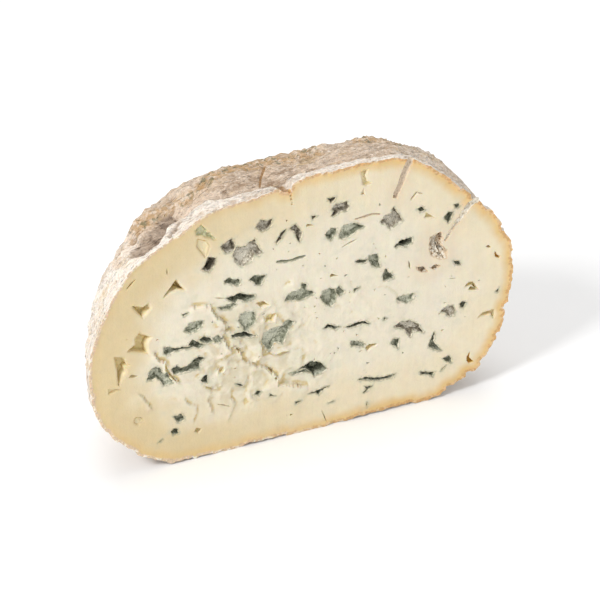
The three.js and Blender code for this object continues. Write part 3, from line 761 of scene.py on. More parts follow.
class CutFace:
    """The uneven cut face, as a grid of depths behind the cut plane."""

    def __init__(self):
        self.xs = np.arange(FACE_LEFT, FACE_RIGHT, FACE_STEP)
        self.zs = np.arange(FACE_LOW, FACE_HIGH, FACE_STEP)
        across, up = np.meshgrid(self.xs, self.zs)
        self.x, self.z = across.ravel(), up.ravel()
        self.rim = with_relief(slice_curve(0, POINTS_ROUND * 2)[0])[0][:, [0, 2]]
        from_rim = distance_on_face(columns(self.x, 0, self.z), self.rim)
        self.depth = face_depth(self.x, self.z, from_rim).reshape(across.shape)
        # How far a point lies below its surroundings: the paste paints shade in creases and light on
        # crests from it.
        self.cavity = self.depth - blurred(self.depth, 3)

    def at(self, values, x, z):
        """The grid's values between its points."""
        u = np.clip((x - FACE_LEFT) / FACE_STEP, 0, len(self.xs) - 1.001)
        v = np.clip((z - FACE_LOW) / FACE_STEP, 0, len(self.zs) - 1.001)
        i, j = u.astype(int), v.astype(int)
        u, v = u - i, v - j
        low = values[j, i] * (1 - u) + values[j, i + 1] * u
        high = values[j + 1, i] * (1 - u) + values[j + 1, i + 1] * u
        return low * (1 - v) + high * v


def blurred(grid, reach):
    """A grid with each value the mean of those round it."""
    for axis in (0, 1):
        grid = sum(np.roll(grid, k, axis) for k in range(-reach, reach + 1)) / (2 * reach + 1)
    return grid


def knife_solid(face):
    """A block in front of the cut face: all that the knife took away."""
    points = columns(face.x, face.depth.ravel(), face.z)
    wide, tall = len(face.xs), len(face.zs)
    index = np.arange(wide * tall).reshape(tall, wide)
    a, b, c, d = index[:-1, :-1], index[:-1, 1:], index[1:, 1:], index[1:, :-1]
    quads = np.stack([a, d, c, b], axis=-1).reshape(-1, 4)
    edge = np.concatenate([index[0, :-1], index[:-1, -1], index[-1, :0:-1], index[:0:-1, 0]])
    rim = points[edge].copy()
    rim[:, 1] = KNIFE_FRONT
    start = len(points)
    centre = start + len(rim)
    middle = np.array([[0, KNIFE_FRONT, WHEEL_MIDDLE]])
    faces = [tuple(quad) for quad in quads]
    for k in range(len(edge)):
        after = (k + 1) % len(edge)
        faces.append((edge[k], edge[after], start + after, start + k))
        faces.append((start + k, start + after, centre))
    return np.concatenate([points, rim, middle]), faces


def tree_of(points):
    tree = KDTree(len(points))
    for k, place in enumerate(points):
        tree.insert(place, k)
    tree.balance()
    return tree


def distance_on_face(points, targets):
    """Distance in the cut plane from each point to the nearest of some points."""
    tree = tree_of(columns(targets[:, 0], 0, targets[:, 1]))
    return np.array([tree.find((x, 0, z))[2] for x, z in points[:, [0, 2]]])


# Openings
# A small opening's sides lie this far out of its reach, and its corners stray by this share.
HOLLOWEST_SIDE = 0.5
SIDE_HOLLOW = 1.05
CORNER_WANDER = 0.11


def star_outline(rng, length, width, turn, corners):
    """A mouth about its own centre: corners with hollow sides between them."""
    hollow = max(HOLLOWEST_SIDE, SIDE_HOLLOW * math.cos(math.pi / corners))
    marks = []
    for k in range(2 * corners):
        wander = rng.uniform(-CORNER_WANDER, CORNER_WANDER)
        angle = math.pi * (k + wander) / corners
        reach = (hollow if k % 2 else 1.0) * (1 + wander * 1.6)
        marks.append((length / 2 * reach * math.cos(angle), width / 2 * reach * math.sin(angle)))
    c, s = math.cos(math.radians(turn)), math.sin(math.radians(turn))
    return np.array(marks) @ np.array([[c, s], [-s, c]])


def ragged(rng, corners, stray, step=0.75):
    """A polygon with its sides split into short, slightly wandering pieces."""
    points = []
    for k, corner in enumerate(corners):
        after = corners[(k + 1) % len(corners)]
        pieces = max(1, int(np.hypot(*(after - corner)) / step))
        for j in range(pieces):
            wander = rng.normal(0, stray, 2) if j else np.zeros(2)
            points.append(corner + (after - corner) * j / pieces + wander)
    return np.array(points)


def rings_solid(rows):
    """A closed solid through rings of as many points each."""
    count = len(rows[0])
    last = (len(rows) - 1) * count
    faces = [tuple(range(count))[::-1], tuple(range(last, last + count))]
    for start in range(0, last, count):
        for k in range(count):
            after = (k + 1) % count
            faces.append((start + k, start + after, start + count + after, start + count + k))
    return np.concatenate(rows), faces


# Shape of an opening: share of its depth, and share of its mouth's size there.
OPENING_PROFILE = [(0.3, 0.96), (0.6, 0.91), (0.85, 0.84), (1.0, 0.72), (0.93, 0.54),
                   (1.0, 0.34), (0.94, 0.14)]
SPECK_PROFILE = [(0.5, 0.8), (1.0, 0.4)]
CUT_THROUGH = 5.0
# How lumpy the inside of each kind of opening is, and how wide its mouth's rounded edge.
LUMPINESS = {GREY: 0.6, BLUE: 0.45, CLEAN: 0.22, PINK: 1.5, ORANGE: 0.1, BROWN: 0.25,
             GREEN: 0.6}
ROUNDING = {GREY: 0.4, BLUE: 0.4, CLEAN: 0.75, PINK: 0.5, ORANGE: 0.4, BROWN: 0.3,
            GREEN: 0.4}


def widened(outline, reach):
    """An outline moved outwards."""
    ahead = np.roll(outline, -1, axis=0)
    way = ahead - np.roll(outline, 1, axis=0)
    way /= np.maximum(1e-6, np.hypot(*way.T))[:, None]
    area = (outline[:, 0] * ahead[:, 1] - ahead[:, 0] * outline[:, 1]).sum()
    return outline + math.copysign(reach, area) * columns(way[:, 1], -way[:, 0])


# Noise that pushes points about along each axis: share of the lumps' size, and seed.
LUMPY_PUSHES = [(1, 50), (0.8, 51), (1, 52)]


def lumpy(points, amount, size):
    """Points pushed about by noise, so that neighbours move alike."""
    pushes = [noise(points, size * share, seed) for share, seed in LUMPY_PUSHES]
    return points + amount * columns(*pushes)


def opening_solid(rng, face, centre, outline, deep, kind, profile):
    """A closed cutter: rounded at its mouth, with steep, lumpy walls and a wide floor."""
    size = np.abs(outline).max(axis=0)
    drift = rng.uniform(-0.1, 0.1, 2) * size
    floor = face.at(face.depth, *centre)
    rounding = ROUNDING[kind] * min(1, size.min() / 2.5) * (profile is OPENING_PROFILE)
    levels = [(-CUT_THROUGH, widened(outline, 2 * rounding), 0),
              (-rounding, widened(outline, 2 * rounding), 0), (rounding, outline, 0)]
    levels += [(share * deep, outline * scale + drift * share, share) for share, scale in profile]
    rows = []
    for depth, ring, share in levels:
        x, z = centre[0] + ring[:, 0], centre[1] + ring[:, 1]
        surface = face.at(face.depth, x, z) * (1 - share) + floor * share
        row = columns(x, surface + depth, z)
        amount = LUMPINESS[kind] * min(1, 2.5 * share) * min(1, deep / 2.5, size.min() / 1.6)
        rows.append(lumpy(row, 1.6 * amount, 1.7) if share else row)
    return rings_solid(rows)


def trench_solid(rng, face, path, widths, deep, kind, roughness=0.14, step=0.8):
    """A closed cutter along a path on the cut face: a gutter with ragged sides."""
    middle, width, along = spread_along(path, widths, step)
    half = width / 2
    way = np.gradient(middle, axis=0)
    across = columns(-way[:, 1], way[:, 0]) / np.hypot(*way.T)[:, None]
    count = len(middle)
    uneven = rng.normal(0, roughness, (2, count))
    wander = noise(columns(along, 0, 0), 5, 77) * half * 0.25
    surface = face.at(face.depth, *middle.T)
    rounding = ROUNDING[kind]
    rows = []
    for depth, scale, wider in ((-CUT_THROUGH, 1, rounding), (-0.2, 1, rounding), (0.35, 1, 0),
                                (0.75 * deep, 0.8, 0), (deep, 0.3, 0)):
        share = max(0, depth) / deep
        sides = []
        for k, sign in enumerate((1, -1)):
            reach = np.maximum(0.12, half + uneven[k] * np.minimum(1, half)) * scale + wider
            side = middle + across * (sign * reach + wander)[:, None]
            row = columns(side[:, 0], surface + depth, side[:, 1])
            sides.append(lumpy(row, LUMPINESS[kind] * share, 1.6))
        rows.append(np.concatenate([sides[0], sides[1][::-1]]))
    points, faces = rings_solid(rows)
    faces = faces[2:]
    ring = 2 * count
    last = (len(rows) - 1) * ring
    for k in range(count - 1):
        faces.append((k, ring - 1 - k, ring - 2 - k, k + 1))
        faces.append((last + k + 1, last + ring - 2 - k, last + ring - 1 - k, last + k))
    return points, faces


def facing_out(points, faces):
    """The same faces, turned round if they enclose a negative volume."""
    fans = [(face[0], face[j], face[j + 1]) for face in faces for j in range(1, len(face) - 1)]
    first, second, third = points[np.array(fans)].transpose(1, 0, 2)
    volume = (first * np.cross(second, third)).sum()
    return faces if volume > 0 else [tuple(reversed(face)) for face in faces]


# Objects
def add_object(name, data, collection=None):
    """A new object, in a collection or in the scene itself."""
    made = bpy.data.objects.new(name, data)
    (collection or bpy.context.scene.collection).objects.link(made)
    return made


def add_shape(name, shape, kind, materials, collection=None):
    """An object with the points and faces of a shape, all of one kind of surface."""
    points, faces = shape
    mesh = bpy.data.meshes.new(name)
    turned = [tuple(map(int, face)) for face in facing_out(points, faces)]
    mesh.from_pydata(to_frame(points).tolist(), [], turned)
    for material in materials:
        mesh.materials.append(material)
    mesh.polygons.foreach_set("material_index", np.full(len(mesh.polygons), kind, np.int32))
    return add_object(name, mesh, collection)


def all_mouths(rng):
    """Kind, depth, centre, outline about that centre, and profile of every opening."""
    mouths = []
    for kind, deep, corners in OUTLINES:
        corners = np.array(corners, float).reshape(-1, 2)
        centre = corners.mean(axis=0)
        stray = CLEAN_STRAY if kind in CLEAN_KINDS else MOULDY_STRAY
        outline = ragged(rng, corners - centre, stray)
        mouths.append((kind, deep, centre, outline, OPENING_PROFILE))
    for kind, x, z, length, width, turn, deep, corners in SMALL_OPENINGS:
        stray = SMALL_CLEAN_STRAY if kind in CLEAN_KINDS else SMALL_MOULDY_STRAY
        outline = ragged(rng, star_outline(rng, length, width, turn, corners), stray)
        mouths.append((kind, deep, np.array([x, z], float), outline, OPENING_PROFILE))
    large = np.concatenate([centre + outline for _, _, centre, outline, _ in mouths])
    placed = 0
    while placed < SPECK_COUNT:
        centre = rng.normal(SPECK_MIDDLE, SPECK_SPREAD)
        outside = oval(*centre, *SPECK_OVAL) >= 0.95
        if outside or np.hypot(*(large - centre).T).min() < SPECK_GAP:
            continue
        size = rng.uniform(*SPECK_SIZES)
        kind = BLUE if rng.random() < MOULDY_SPECKS else CLEAN
        outline = star_outline(rng, size * rng.uniform(1, 2.2), size, rng.uniform(0, 180), 3)
        mouths.append((kind, size * 0.9, centre, outline, SPECK_PROFILE))
        placed += 1
    return mouths


def cut_body(body, cutter=None, collection=None):
    """Cuts one object, or all the objects of a collection, out of the body."""
    modifier = body.modifiers.new("cut", "BOOLEAN")
    modifier.operation = "DIFFERENCE"
    modifier.solver = "MANIFOLD"
    modifier.material_mode = "INDEX"
    if collection:
        modifier.operand_type = "COLLECTION"
        modifier.collection = collection
    else:
        modifier.object = cutter


def build_cheese(materials):
    """The wheel behind the cut, with its uneven face and all its openings."""
    rng = np.random.default_rng(SEED)
    bare, faces = rind_mesh()
    points, marks = with_relief(bare)
    body = add_shape("cheese_body", (points, faces), RIND, materials)
    face = CutFace()
    knife = add_shape("knife", knife_solid(face), PASTE, materials)
    openings = bpy.data.collections.new("openings")
    bpy.context.scene.collection.children.link(openings)
    mouths = all_mouths(rng)
    for kind, deep, centre, outline, profile in mouths:
        shape = opening_solid(rng, face, centre, outline, deep, kind, profile)
        add_shape("opening", shape, kind, materials, openings)
    for kind, path, widths, deep in TRENCHES:
        shape = trench_solid(rng, face, path, widths, deep, kind)
        add_shape("trench", shape, kind, materials, openings)
    cut_body(body, cutter=knife)
    cut_body(body, collection=openings)
    graph = bpy.context.evaluated_depsgraph_get()
    mesh = bpy.data.meshes.new_from_object(body.evaluated_get(graph))
    mesh.validate(clean_customdata=False)
    body.modifiers.clear()
    body.data = mesh
    for cutter in list(openings.objects) + [knife]:
        bpy.data.objects.remove(cutter)
    bpy.data.collections.remove(openings)
    describe(mesh, face, points, marks, mouths)
    mesh.shade_smooth()
    mesh.set_sharp_from_angle(angle=math.radians(SHARP_FROM))
    return body


# What the materials read
def mouth_points(mouths, kinds):
    """The outlines of all larger openings of some kinds, on the face."""
    return np.concatenate([centre + outline for kind, _, centre, outline, profile in mouths
                           if kind in kinds and profile is OPENING_PROFILE])


def describe(mesh, face, rind_points, marks, mouths):
    """Stores on the mesh where each point lies, for the materials: all lengths in millimetres."""
    places = np.zeros(len(mesh.vertices) * 3)
    mesh.vertices.foreach_get("co", places)
    points = places.reshape(-1, 3)
    points[:, 1] -= CUT_PLANE
    points /= MM
    normals = np.zeros(len(places), np.float32)
    mesh.vertex_normals.foreach_get("vector", normals)
    normals = normals.reshape(-1, 3)
    x, y, z = points.T
    tree = tree_of(rind_points)
    nearest = np.array([tree.find(place)[1] for place in points])
    needles = [spread_along(path, widths, 2)[0] for _, path, widths, _ in TRENCHES[:NEEDLE_ROWS]]
    pink = np.concatenate([mouth_points(mouths, (PINK,)), *needles])
    from_mould = distance_on_face(points, mouth_points(mouths, (GREY, BLUE)))
    values = {name: mark[nearest] for name, mark in marks.items()} | {
        "from_rim": distance_on_face(points, face.rim),
        "depth": np.maximum(0, y - face.at(face.depth, x, z)),
        "cavity": face.at(face.cavity, x, z),
        "halo": np.exp(-from_mould / HALO_REACH),
        "from_mouth": distance_on_face(points, mouth_points(mouths, LUMPINESS)),
        "pink": np.exp(-(distance_on_face(points, pink) / PINK_REACH) ** 2),
        "torn": tear_share(x, z),
        # facing and upwards steer the painted light on the mould's walls; depth and from_mouth steer its
        # painted shade.
        "facing": -normals[:, 1],
        "upwards": normals[:, 2],
        "crust": crust_share(points),
        "white_side": smooth(-58, -92, x + 0.3 * y) * smooth(18, 50, z),
    }
    for name, value in values.items():
        attribute = mesh.attributes.new(name, "FLOAT", "POINT")
        attribute.data.foreach_set("value", np.asarray(value, dtype=np.float32))


# Materials
def tone(red, green, blue):
    """A screen colour of 0 to 255 as the linear colour that a shader takes."""
    parts = np.array([red, green, blue]) / 255
    linear = np.where(parts <= 0.04045, parts / 12.92, ((parts + 0.055) / 1.055) ** 2.4)
    return (*map(float, linear), 1.0)


class Graph:
    """One material's nodes. Each method adds a node and gives back its output."""

    def __init__(self, name, roughness):
        self.material = bpy.data.materials.new(name)
        self.material.use_nodes = True
        self.tree = self.material.node_tree
        self.shader = self.tree.nodes["Principled BSDF"]
        self.shader.inputs["Roughness"].default_value = roughness
        self.place = self.add("ShaderNodeTexCoord", {}, "Object")

    def add(self, kind, sockets, output=0, **settings):
        node = self.tree.nodes.new(kind)
        for key, value in settings.items():
            setattr(node, key, value)
        for key, value in sockets.items():
            self.plug(node.inputs[key], value)
        return node.outputs[output]

    def plug(self, socket, value):
        if isinstance(value, bpy.types.NodeSocket):
            self.tree.links.new(value, socket)
        else:
            socket.default_value = value

    def attribute(self, name):
        return self.add("ShaderNodeAttribute", {}, "Fac", attribute_name=name)

    def axis(self, name):
        """The place along one axis of the frame, in metres."""
        return self.add("ShaderNodeSeparateXYZ", {"Vector": self.place}, name)

    def noise(self, size, detail=2.0, rough=0.5, stretch=(1, 1, 1)):
        """Noise of 0 to 1 with lumps of a size in millimetres, longer along a stretched axis."""
        place = self.place
        if stretch != (1, 1, 1):
            squeeze = tuple(1 / part for part in stretch)
            place = self.add("ShaderNodeMapping", {"Vector": place, "Scale": squeeze})
        return self.add("ShaderNodeTexNoise", {
            "Vector": place, "Scale": 1 / (size * MM), "Detail": detail, "Roughness": rough,
        }, "Fac")

    def rise(self, value, low, high):
        """0 up to low, 1 from high on, smooth between, for low below or above high."""
        return self.add("ShaderNodeMapRange", {
            "Value": value, "From Min": low, "From Max": high,
        }, "Result", interpolation_type="SMOOTHSTEP", clamp=True)

    def scale(self, value, low, high, bottom, top):
        """A value between low and high, stretched to lie between bottom and top."""
        return self.add("ShaderNodeMapRange", {
            "Value": value, "From Min": low, "From Max": high, "To Min": bottom, "To Max": top,
        }, "Result")

    def patches(self, low, high, *noise):
        """1 where noise is past high, 0 where it is short of low."""
        return self.rise(self.noise(*noise), low, high)

    def maths(self, operation, first, second=0.0):
        return self.add("ShaderNodeMath", {0: first, 1: second}, 0, operation=operation)

    def plus(self, first, second):
        return self.maths("ADD", first, second)

    def minus(self, first, second):
        return self.maths("SUBTRACT", first, second)

    def times(self, first, second):
        return self.maths("MULTIPLY", first, second)

    def swing(self, size, detail=2.0, rough=0.5, stretch=(1, 1, 1)):
        """Noise about zero."""
        return self.minus(self.noise(size, detail, rough, stretch), 0.5)

    def crests(self, size, stretch):
        """0 to 1, 1 along thin crests, longer along a stretched axis."""
        return self.rise(self.maths("ABSOLUTE", self.swing(size, 2.0, 0.5, stretch)), 0.12, 0.0)

    def wander(self, value, size, reach, detail=2.0):
        """A value moved up and down by noise."""
        return self.plus(value, self.times(self.swing(size, detail), 2 * reach))

    def mix(self, share, first, second, blend="MIX"):
        return self.add("ShaderNodeMix", {0: share, 6: first, 7: second}, 2,
                        data_type="RGBA", blend_type=blend)

    def lay(self, colour, share, strength, other):
        """A colour with another one laid over it, where and as strongly as a share says."""
        return self.mix(self.times(share, strength), colour, other)

    def speckle(self, colour, size, strength, detail=3.0, stretch=(1, 1, 1)):
        """Lightens and darkens a colour in lumps of a size."""
        grey = self.scale(self.noise(size, detail, 0.6, stretch), 0.25, 0.75,
                          1 - strength, 1 + strength)
        return self.mix(1.0, colour, grey, "MULTIPLY")

    def bump(self, heights):
        """Bumps from pairs of noise and height in millimetres."""
        normal = None
        for value, height in heights:
            sockets = {"Height": value, "Distance": height * MM, "Strength": 1.0}
            if normal:
                sockets["Normal"] = normal
            normal = self.add("ShaderNodeBump", sockets, "Normal")
        self.plug(self.shader.inputs["Normal"], normal)

    def done(self, colour, subsurface=0.0, reach=(0, 0, 0)):
        self.plug(self.shader.inputs["Base Color"], colour)
        if subsurface:
            self.shader.inputs["Subsurface Weight"].default_value = subsurface
            self.shader.inputs["Subsurface Scale"].default_value = MM
            self.shader.inputs["Subsurface Radius"].default_value = reach
        return self.material


# Colours of the paste, by place
CREAM = tone(237, 228, 206)
OUTER_LEFT = tone(221, 201, 157)
OUTER_RIGHT = tone(238, 225, 195)
PINK_PASTE = tone(228, 204, 172)
BAND = tone(229, 192, 122)
SKIN_LEFT = tone(222, 198, 170)
SKIN_RIGHT = tone(214, 170, 112)
FLECKS = tone(246, 236, 221)
TORN_TINT_AND_SHADE = tone(205, 192, 160)
HALO = tone(199, 199, 176)
SPOTS = tone(112, 112, 88)
# Painted shade for creases, and a paler tone for crests that is partly paler crumbs and partly painted
# light.
CREASE_SHADE = tone(216, 189, 118)
CRUMB_AND_CREST_LIGHT = tone(246, 238, 218)
# Stains of the paste at the rim of an opening.
STAIN = tone(156, 154, 127)
PINK_STAIN = tone(224, 198, 166)
# Mould and clean walls: each from its dark parts to its light ones. On mould and in the brown
# cracks the dark and light parts are painted shade and painted light; on clean walls the deep
# colour is partly their own and partly painted shade.
GREY_MOULD = (tone(82, 72, 58), tone(160, 150, 130), tone(228, 221, 204))
BLUE_MOULD = (tone(66, 70, 54), tone(153, 155, 133), tone(217, 217, 196))
PINK_MOULD = (tone(142, 106, 68), tone(229, 208, 178), tone(251, 244, 228))
BROWN_CRACK = (tone(126, 97, 70), tone(181, 154, 127), tone(220, 202, 179))
CLEAN_WALL = (tone(215, 193, 136), tone(241, 227, 187))
ORANGE_WALL = (tone(200, 148, 52), tone(236, 194, 100))
GREEN_WALL = (tone(186, 188, 152), tone(212, 210, 172))
# The rind: its valleys and ridges, first where it is bare, then where it is powdered white, then
# on the lip and in the hollows. Darker valleys are painted shade, paler ridges partly their own
# colour and partly painted light, and the hollow tones painted shade.
SHADED_VALLEY, RIDGE = tone(152, 127, 103), tone(223, 203, 182)
WHITE_SHADED_VALLEY, WHITE_RIDGE = tone(226, 206, 178), tone(243, 233, 221)
LIP_SHADED_VALLEY, LIP_RIDGE = tone(204, 184, 164), tone(243, 234, 222)
HOLLOW_SHADED_VALLEY, HOLLOW_SHADED_RIDGE = tone(98, 82, 68), tone(178, 158, 139)
RIND_PINK = tone(206, 179, 152)
RIND_OCHRE = tone(212, 182, 130)
RIND_FLECKS = tone(240, 230, 218)
RIND_CRUST = tone(186, 150, 104)
RIND_GREEN = tone(112, 110, 80)
RIND_CRACK = tone(158, 118, 70)


def paste_colour(graph):
    """Cream in the middle, yellower towards the rind, with a tan band and skin at the rim."""
    from_rim = graph.attribute("from_rim")
    to_right = graph.rise(graph.axis("X"), -0.09, 0.05)
    low_down = graph.rise(graph.axis("Z"), 0.045, 0.005)
    strong = graph.maths("MAXIMUM", to_right, graph.times(low_down, 0.5))
    inside = graph.rise(graph.wander(from_rim, 14, 13), 10, 38)
    colour = graph.mix(inside, graph.mix(to_right, OUTER_LEFT, OUTER_RIGHT), CREAM)
    colour = graph.lay(colour, graph.attribute("pink"), 0.35, PINK_PASTE)
    band = graph.rise(graph.wander(from_rim, 11, 2.2), 7.5, 1.0)
    colour = graph.lay(colour, band, graph.scale(strong, 0, 1, 0.2, 0.9), BAND)
    skin = graph.speckle(graph.mix(to_right, SKIN_LEFT, SKIN_RIGHT), 1.1, 0.22)
    fewer = graph.scale(to_right, 0, 1, 1, 0.25)
    skin = graph.lay(skin, graph.patches(0.52, 0.6, 2.2, 4), fewer, FLECKS)
    return graph.mix(graph.rise(graph.wander(from_rim, 2.2, 1.5, 4), 1.9, 0.9), colour, skin)


def paste_material():
    graph = Graph("paste", 0.46)
    halo, cavity = graph.attribute("halo"), graph.attribute("cavity")
    from_rim = graph.attribute("from_rim")
    colour = graph.speckle(paste_colour(graph), 9, 0.03, 2)
    colour = graph.speckle(colour, 2.2, 0.025, 4)
    colour = graph.speckle(colour, 2.6, 0.014, 2, stretch=(1, 1, 9))
    # Darker patches on the torn part: partly mould tint, partly painted shade.
    torn_tint_and_shade = graph.times(graph.attribute("torn"), graph.patches(0.36, 0.62, 6, 4))
    colour = graph.lay(colour, torn_tint_and_shade, 0.6, TORN_TINT_AND_SHADE)
    blur = graph.times(halo, graph.patches(0.35, 0.7, 3.2, 3))
    colour = graph.lay(colour, blur, 0.6, HALO)
    stain = graph.rise(graph.wander(halo, 1.8, 0.36, 4), 0.56, 0.96)
    colour = graph.lay(colour, stain, 0.68, STAIN)
    spots = graph.times(graph.patches(0.64, 0.74, 1.3, 3, 0.7), halo)
    colour = graph.lay(colour, spots, 0.85, SPOTS)
    veils = graph.times(graph.patches(0.56, 0.7, 7, 3), graph.rise(from_rim, 14, 30))
    colour = graph.lay(colour, veils, 0.22, HALO)
    # Painted shade: creases of the face take a warm yellow.
    inner = graph.rise(from_rim, 2, 4)
    uneven = graph.wander(cavity, 1.4, 0.08)
    crease = graph.times(inner, graph.rise(uneven, 0.06, 0.42))
    crease = graph.times(crease, graph.patches(0.35, 0.65, 3.5, 3))
    colour = graph.lay(colour, crease, 0.75, CREASE_SHADE)
    # Crests are paler: partly paler crumbs, partly painted light.
    crumb_and_crest_light = graph.times(inner, graph.rise(uneven, -0.06, -0.4))
    colour = graph.lay(colour, crumb_and_crest_light, 0.3, CRUMB_AND_CREST_LIGHT)
    graph.bump([(graph.noise(1.1, 4, 0.6), 0.12), (graph.noise(2.4, 2, 0.5, (1, 1, 8)), 0.1)])
    return graph.done(colour, 0.35, (2.4, 1.4, 0.6))


def mould_material(name, colours, stain):
    """Velvety mould, with painted light and shade: pale on floors and lower walls, dark by the edge and
    in deeps.
    """
    graph = Graph(name, 0.95)
    painted_shade, middle, light = colours
    depth = graph.attribute("depth")
    from_mouth = graph.wander(graph.attribute("from_mouth"), 1.5, 0.5)
    # Painted light and shade: walls that face the front or up, and places away from the mouth, come out
    # lighter, and deeps darker; the noise is the mould's own mottling.
    lit = graph.plus(graph.times(graph.attribute("facing"), 0.3),
                     graph.times(graph.attribute("upwards"), 0.3))
    lit = graph.plus(lit, graph.times(graph.rise(from_mouth, 0.2, 2.4), 0.4))
    lit = graph.plus(lit, graph.plus(graph.times(graph.swing(1.7, 4, 0.7), 2.3), 0.58))
    lit = graph.minus(lit, graph.times(graph.rise(depth, 3, 6.5), 0.6))
    colour = graph.mix(graph.rise(lit, 0.3, 0.75), painted_shade, middle)
    colour = graph.mix(graph.rise(lit, 0.8, 1.15), colour, light)
    colour = graph.speckle(colour, 0.7, 0.25, 3)
    rim = graph.lay(paste_colour(graph), graph.patches(0.36, 0.56, 1.9, 4), 0.7, stain)
    colour = graph.mix(graph.rise(graph.wander(depth, 1.2, 0.25), 0.6, 0.35), colour, rim)
    graph.bump([(graph.noise(0.8, 4, 0.7), 0.35)])
    return graph.done(colour)


def hollow_material(name, colours):
    """The clean wall of an opening: paste that turns darker with depth, partly its own colour and partly
    painted shade.
    """
    graph = Graph(name, 0.5)
    deep, shallow = colours
    below = graph.wander(graph.attribute("depth"), 2.5, 0.9, 3)
    # Darker with depth: partly the wall's own colour, partly painted shade.
    colour = graph.mix(graph.rise(below, 0.2, 1.8), paste_colour(graph), shallow)
    colour = graph.mix(graph.rise(below, 1.4, 4.5), colour, deep)
    colour = graph.speckle(colour, 1.4, 0.05)
    graph.bump([(graph.noise(1.0, 4, 0.6), 0.14)])
    return graph.done(colour, 0.3, (2.0, 1.2, 0.5))


def rind_material():
    """Powdery mould over a grey-pink skin, with ochre crust and faint blue-green patches, and painted
    shade in valleys and hollows.
    """
    graph = Graph("rind", 0.9)
    folds, wrinkles = graph.crests(3.6, (2, 0.8, 2)), graph.crests(2.4, (3.2, 0.7, 3.2))
    height = graph.plus(graph.attribute("relief"), graph.times(graph.swing(1.7, 4, 0.7), 2.4))
    height = graph.plus(height, graph.times(folds, 0.25))
    height = graph.plus(height, graph.times(wrinkles, 0.35))
    to_right = graph.rise(graph.wander(graph.axis("X"), 38, 0.05, 4), 0.01, 0.09)
    white = graph.maths("MAXIMUM", graph.attribute("white_side"), graph.times(to_right, 0.75))
    # Painted shade in the valleys of the relief; the paler ridges are partly their own colour and partly
    # painted light.
    colour = graph.mix(graph.rise(height, -0.75, 0.95), graph.mix(white, SHADED_VALLEY, WHITE_SHADED_VALLEY),
                       graph.mix(white, RIDGE, WHITE_RIDGE))
    colour = graph.lay(colour, graph.patches(0.46, 0.66, 13, 3), 0.4, RIND_PINK)
    colour = graph.lay(colour, graph.patches(0.58, 0.68, 5, 4, 0.6, (2.6, 0.7, 2.6)), 0.4,
                       RIND_OCHRE)
    colour = graph.lay(colour, graph.patches(0.62, 0.69, 2.2, 3, 0.6), 0.6, RIND_FLECKS)
    dusted_and_shaded = graph.mix(graph.rise(height, -0.9, 0.5), LIP_SHADED_VALLEY, LIP_RIDGE)
    colour = graph.lay(colour, graph.attribute("lip"), 0.8, dusted_and_shaded)
    # Painted shade in the hollows, folds and the groove behind the lip.
    hollow = graph.rise(graph.wander(graph.attribute("hollow"), 2.4, 0.6), 0.35, 1.9)
    painted_shade = graph.mix(graph.rise(height, -0.9, 1.0), HOLLOW_SHADED_VALLEY, HOLLOW_SHADED_RIDGE)
    colour = graph.lay(colour, hollow, 0.9, painted_shade)
    crust = graph.attribute("crust")
    brown = graph.times(crust, graph.patches(0.36, 0.6, 2.4, 3))
    colour = graph.lay(colour, brown, 0.8, RIND_CRUST)
    green = graph.times(crust, graph.patches(0.55, 0.63, 3.4, 3, 0.6))
    colour = graph.lay(colour, green, 0.75, RIND_GREEN)
    crack = graph.rise(graph.wander(graph.attribute("crack"), 1.5, 0.3), 0.5, 0.9)
    colour = graph.lay(colour, crack, 0.85, RIND_CRACK)
    colour = graph.speckle(colour, 0.8, 0.14, 3)
    graph.bump([(graph.noise(0.9, 4, 0.7), 0.4), (graph.noise(2.4, 3, 0.6), 0.7),
                (folds, 0.35), (wrinkles, 0.28)])
    return graph.done(colour, 0.1, (1.2, 0.8, 0.5))


def cheese_materials():
    """The materials, in the order of the kinds of surface."""
    return [
        rind_material(),
        paste_material(),
        mould_material("mould_grey", GREY_MOULD, STAIN),
        mould_material("mould_blue", BLUE_MOULD, STAIN),
        hollow_material("hollow_clean", CLEAN_WALL),
        mould_material("mould_pink", PINK_MOULD, PINK_STAIN),
        hollow_material("hollow_orange", ORANGE_WALL),
        mould_material("crack_brown", BROWN_CRACK, PINK_STAIN),
        hollow_material("hollow_green", GREEN_WALL),
    ]


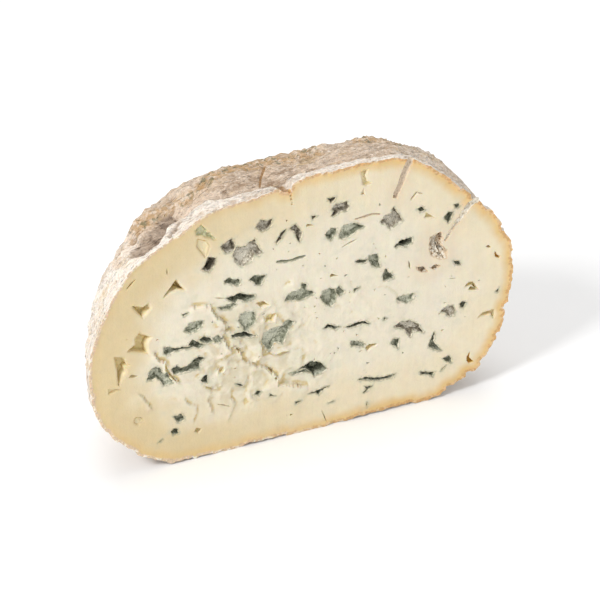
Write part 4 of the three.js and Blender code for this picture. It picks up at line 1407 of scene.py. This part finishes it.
# Stage and camera
CAMERA_TARGET = (-0.00397, CUT_PLANE, 0.074764)
CAMERA_AZIMUTH = -24.0
CAMERA_ELEVATION = 31.5
CAMERA_DISTANCE = 1.3
LENS = 166.457
SENSOR = 36.0
WORLD_STRENGTH = 0.585
FLOOR_REACH = 4
FLOOR_WHITE = 252
LIGHT_TARGET = (0, 0, 0.06)
KEY_PLACE = (-1.25, -0.55, 1.3)
KEY_SIZE = 0.4
KEY_WATTS = 18.0
TOP_PLACE = (0.15, 0.35, 1.7)
TOP_SIZE = 1.2
TOP_WATTS = 10.0


def add_camera():
    turn, lift = math.radians(CAMERA_AZIMUTH), math.radians(CAMERA_ELEVATION)
    back = Vector((math.sin(turn) * math.cos(lift), -math.cos(turn) * math.cos(lift),
                   math.sin(lift)))
    data = bpy.data.cameras.new("camera")
    data.lens = LENS
    data.sensor_width = SENSOR
    data.clip_end = 50
    camera = add_object("camera", data)
    camera.location = Vector(CAMERA_TARGET) + back * CAMERA_DISTANCE
    camera.rotation_euler = (-back).to_track_quat("-Z", "Y").to_euler()
    bpy.context.scene.camera = camera


def add_light(name, place, size, watts):
    data = bpy.data.lights.new(name, "AREA")
    data.energy = watts
    data.size = size
    lamp = add_object(name, data)
    lamp.location = place
    way = Vector(LIGHT_TARGET) - Vector(place)
    lamp.rotation_euler = way.to_track_quat("-Z", "Y").to_euler()


def add_floor():
    mesh = bpy.data.meshes.new("floor")
    corners = [(-1, -1), (1, -1), (1, 1), (-1, 1)]
    mesh.from_pydata([(x * FLOOR_REACH, y * FLOOR_REACH, 0) for x, y in corners], [], [range(4)])
    graph = Graph("floor", 0.9)
    mesh.materials.append(graph.done(graph.speckle(tone(*[FLOOR_WHITE] * 3), 30, 0.004)))
    add_object("floor", mesh)


def add_studio():
    world = bpy.data.worlds.new("studio")
    world.use_nodes = True
    background = world.node_tree.nodes["Background"]
    background.inputs["Color"].default_value = (1, 1, 1, 1)
    background.inputs["Strength"].default_value = WORLD_STRENGTH
    bpy.context.scene.world = world
    bpy.context.scene.view_settings.view_transform = "Standard"
    add_light("key", KEY_PLACE, KEY_SIZE, KEY_WATTS)
    add_light("top", TOP_PLACE, TOP_SIZE, TOP_WATTS)


# The scene
cheese = build_cheese(cheese_materials())
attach(cheese, "root")
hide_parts(NODE)
add_floor()
add_studio()
add_camera()
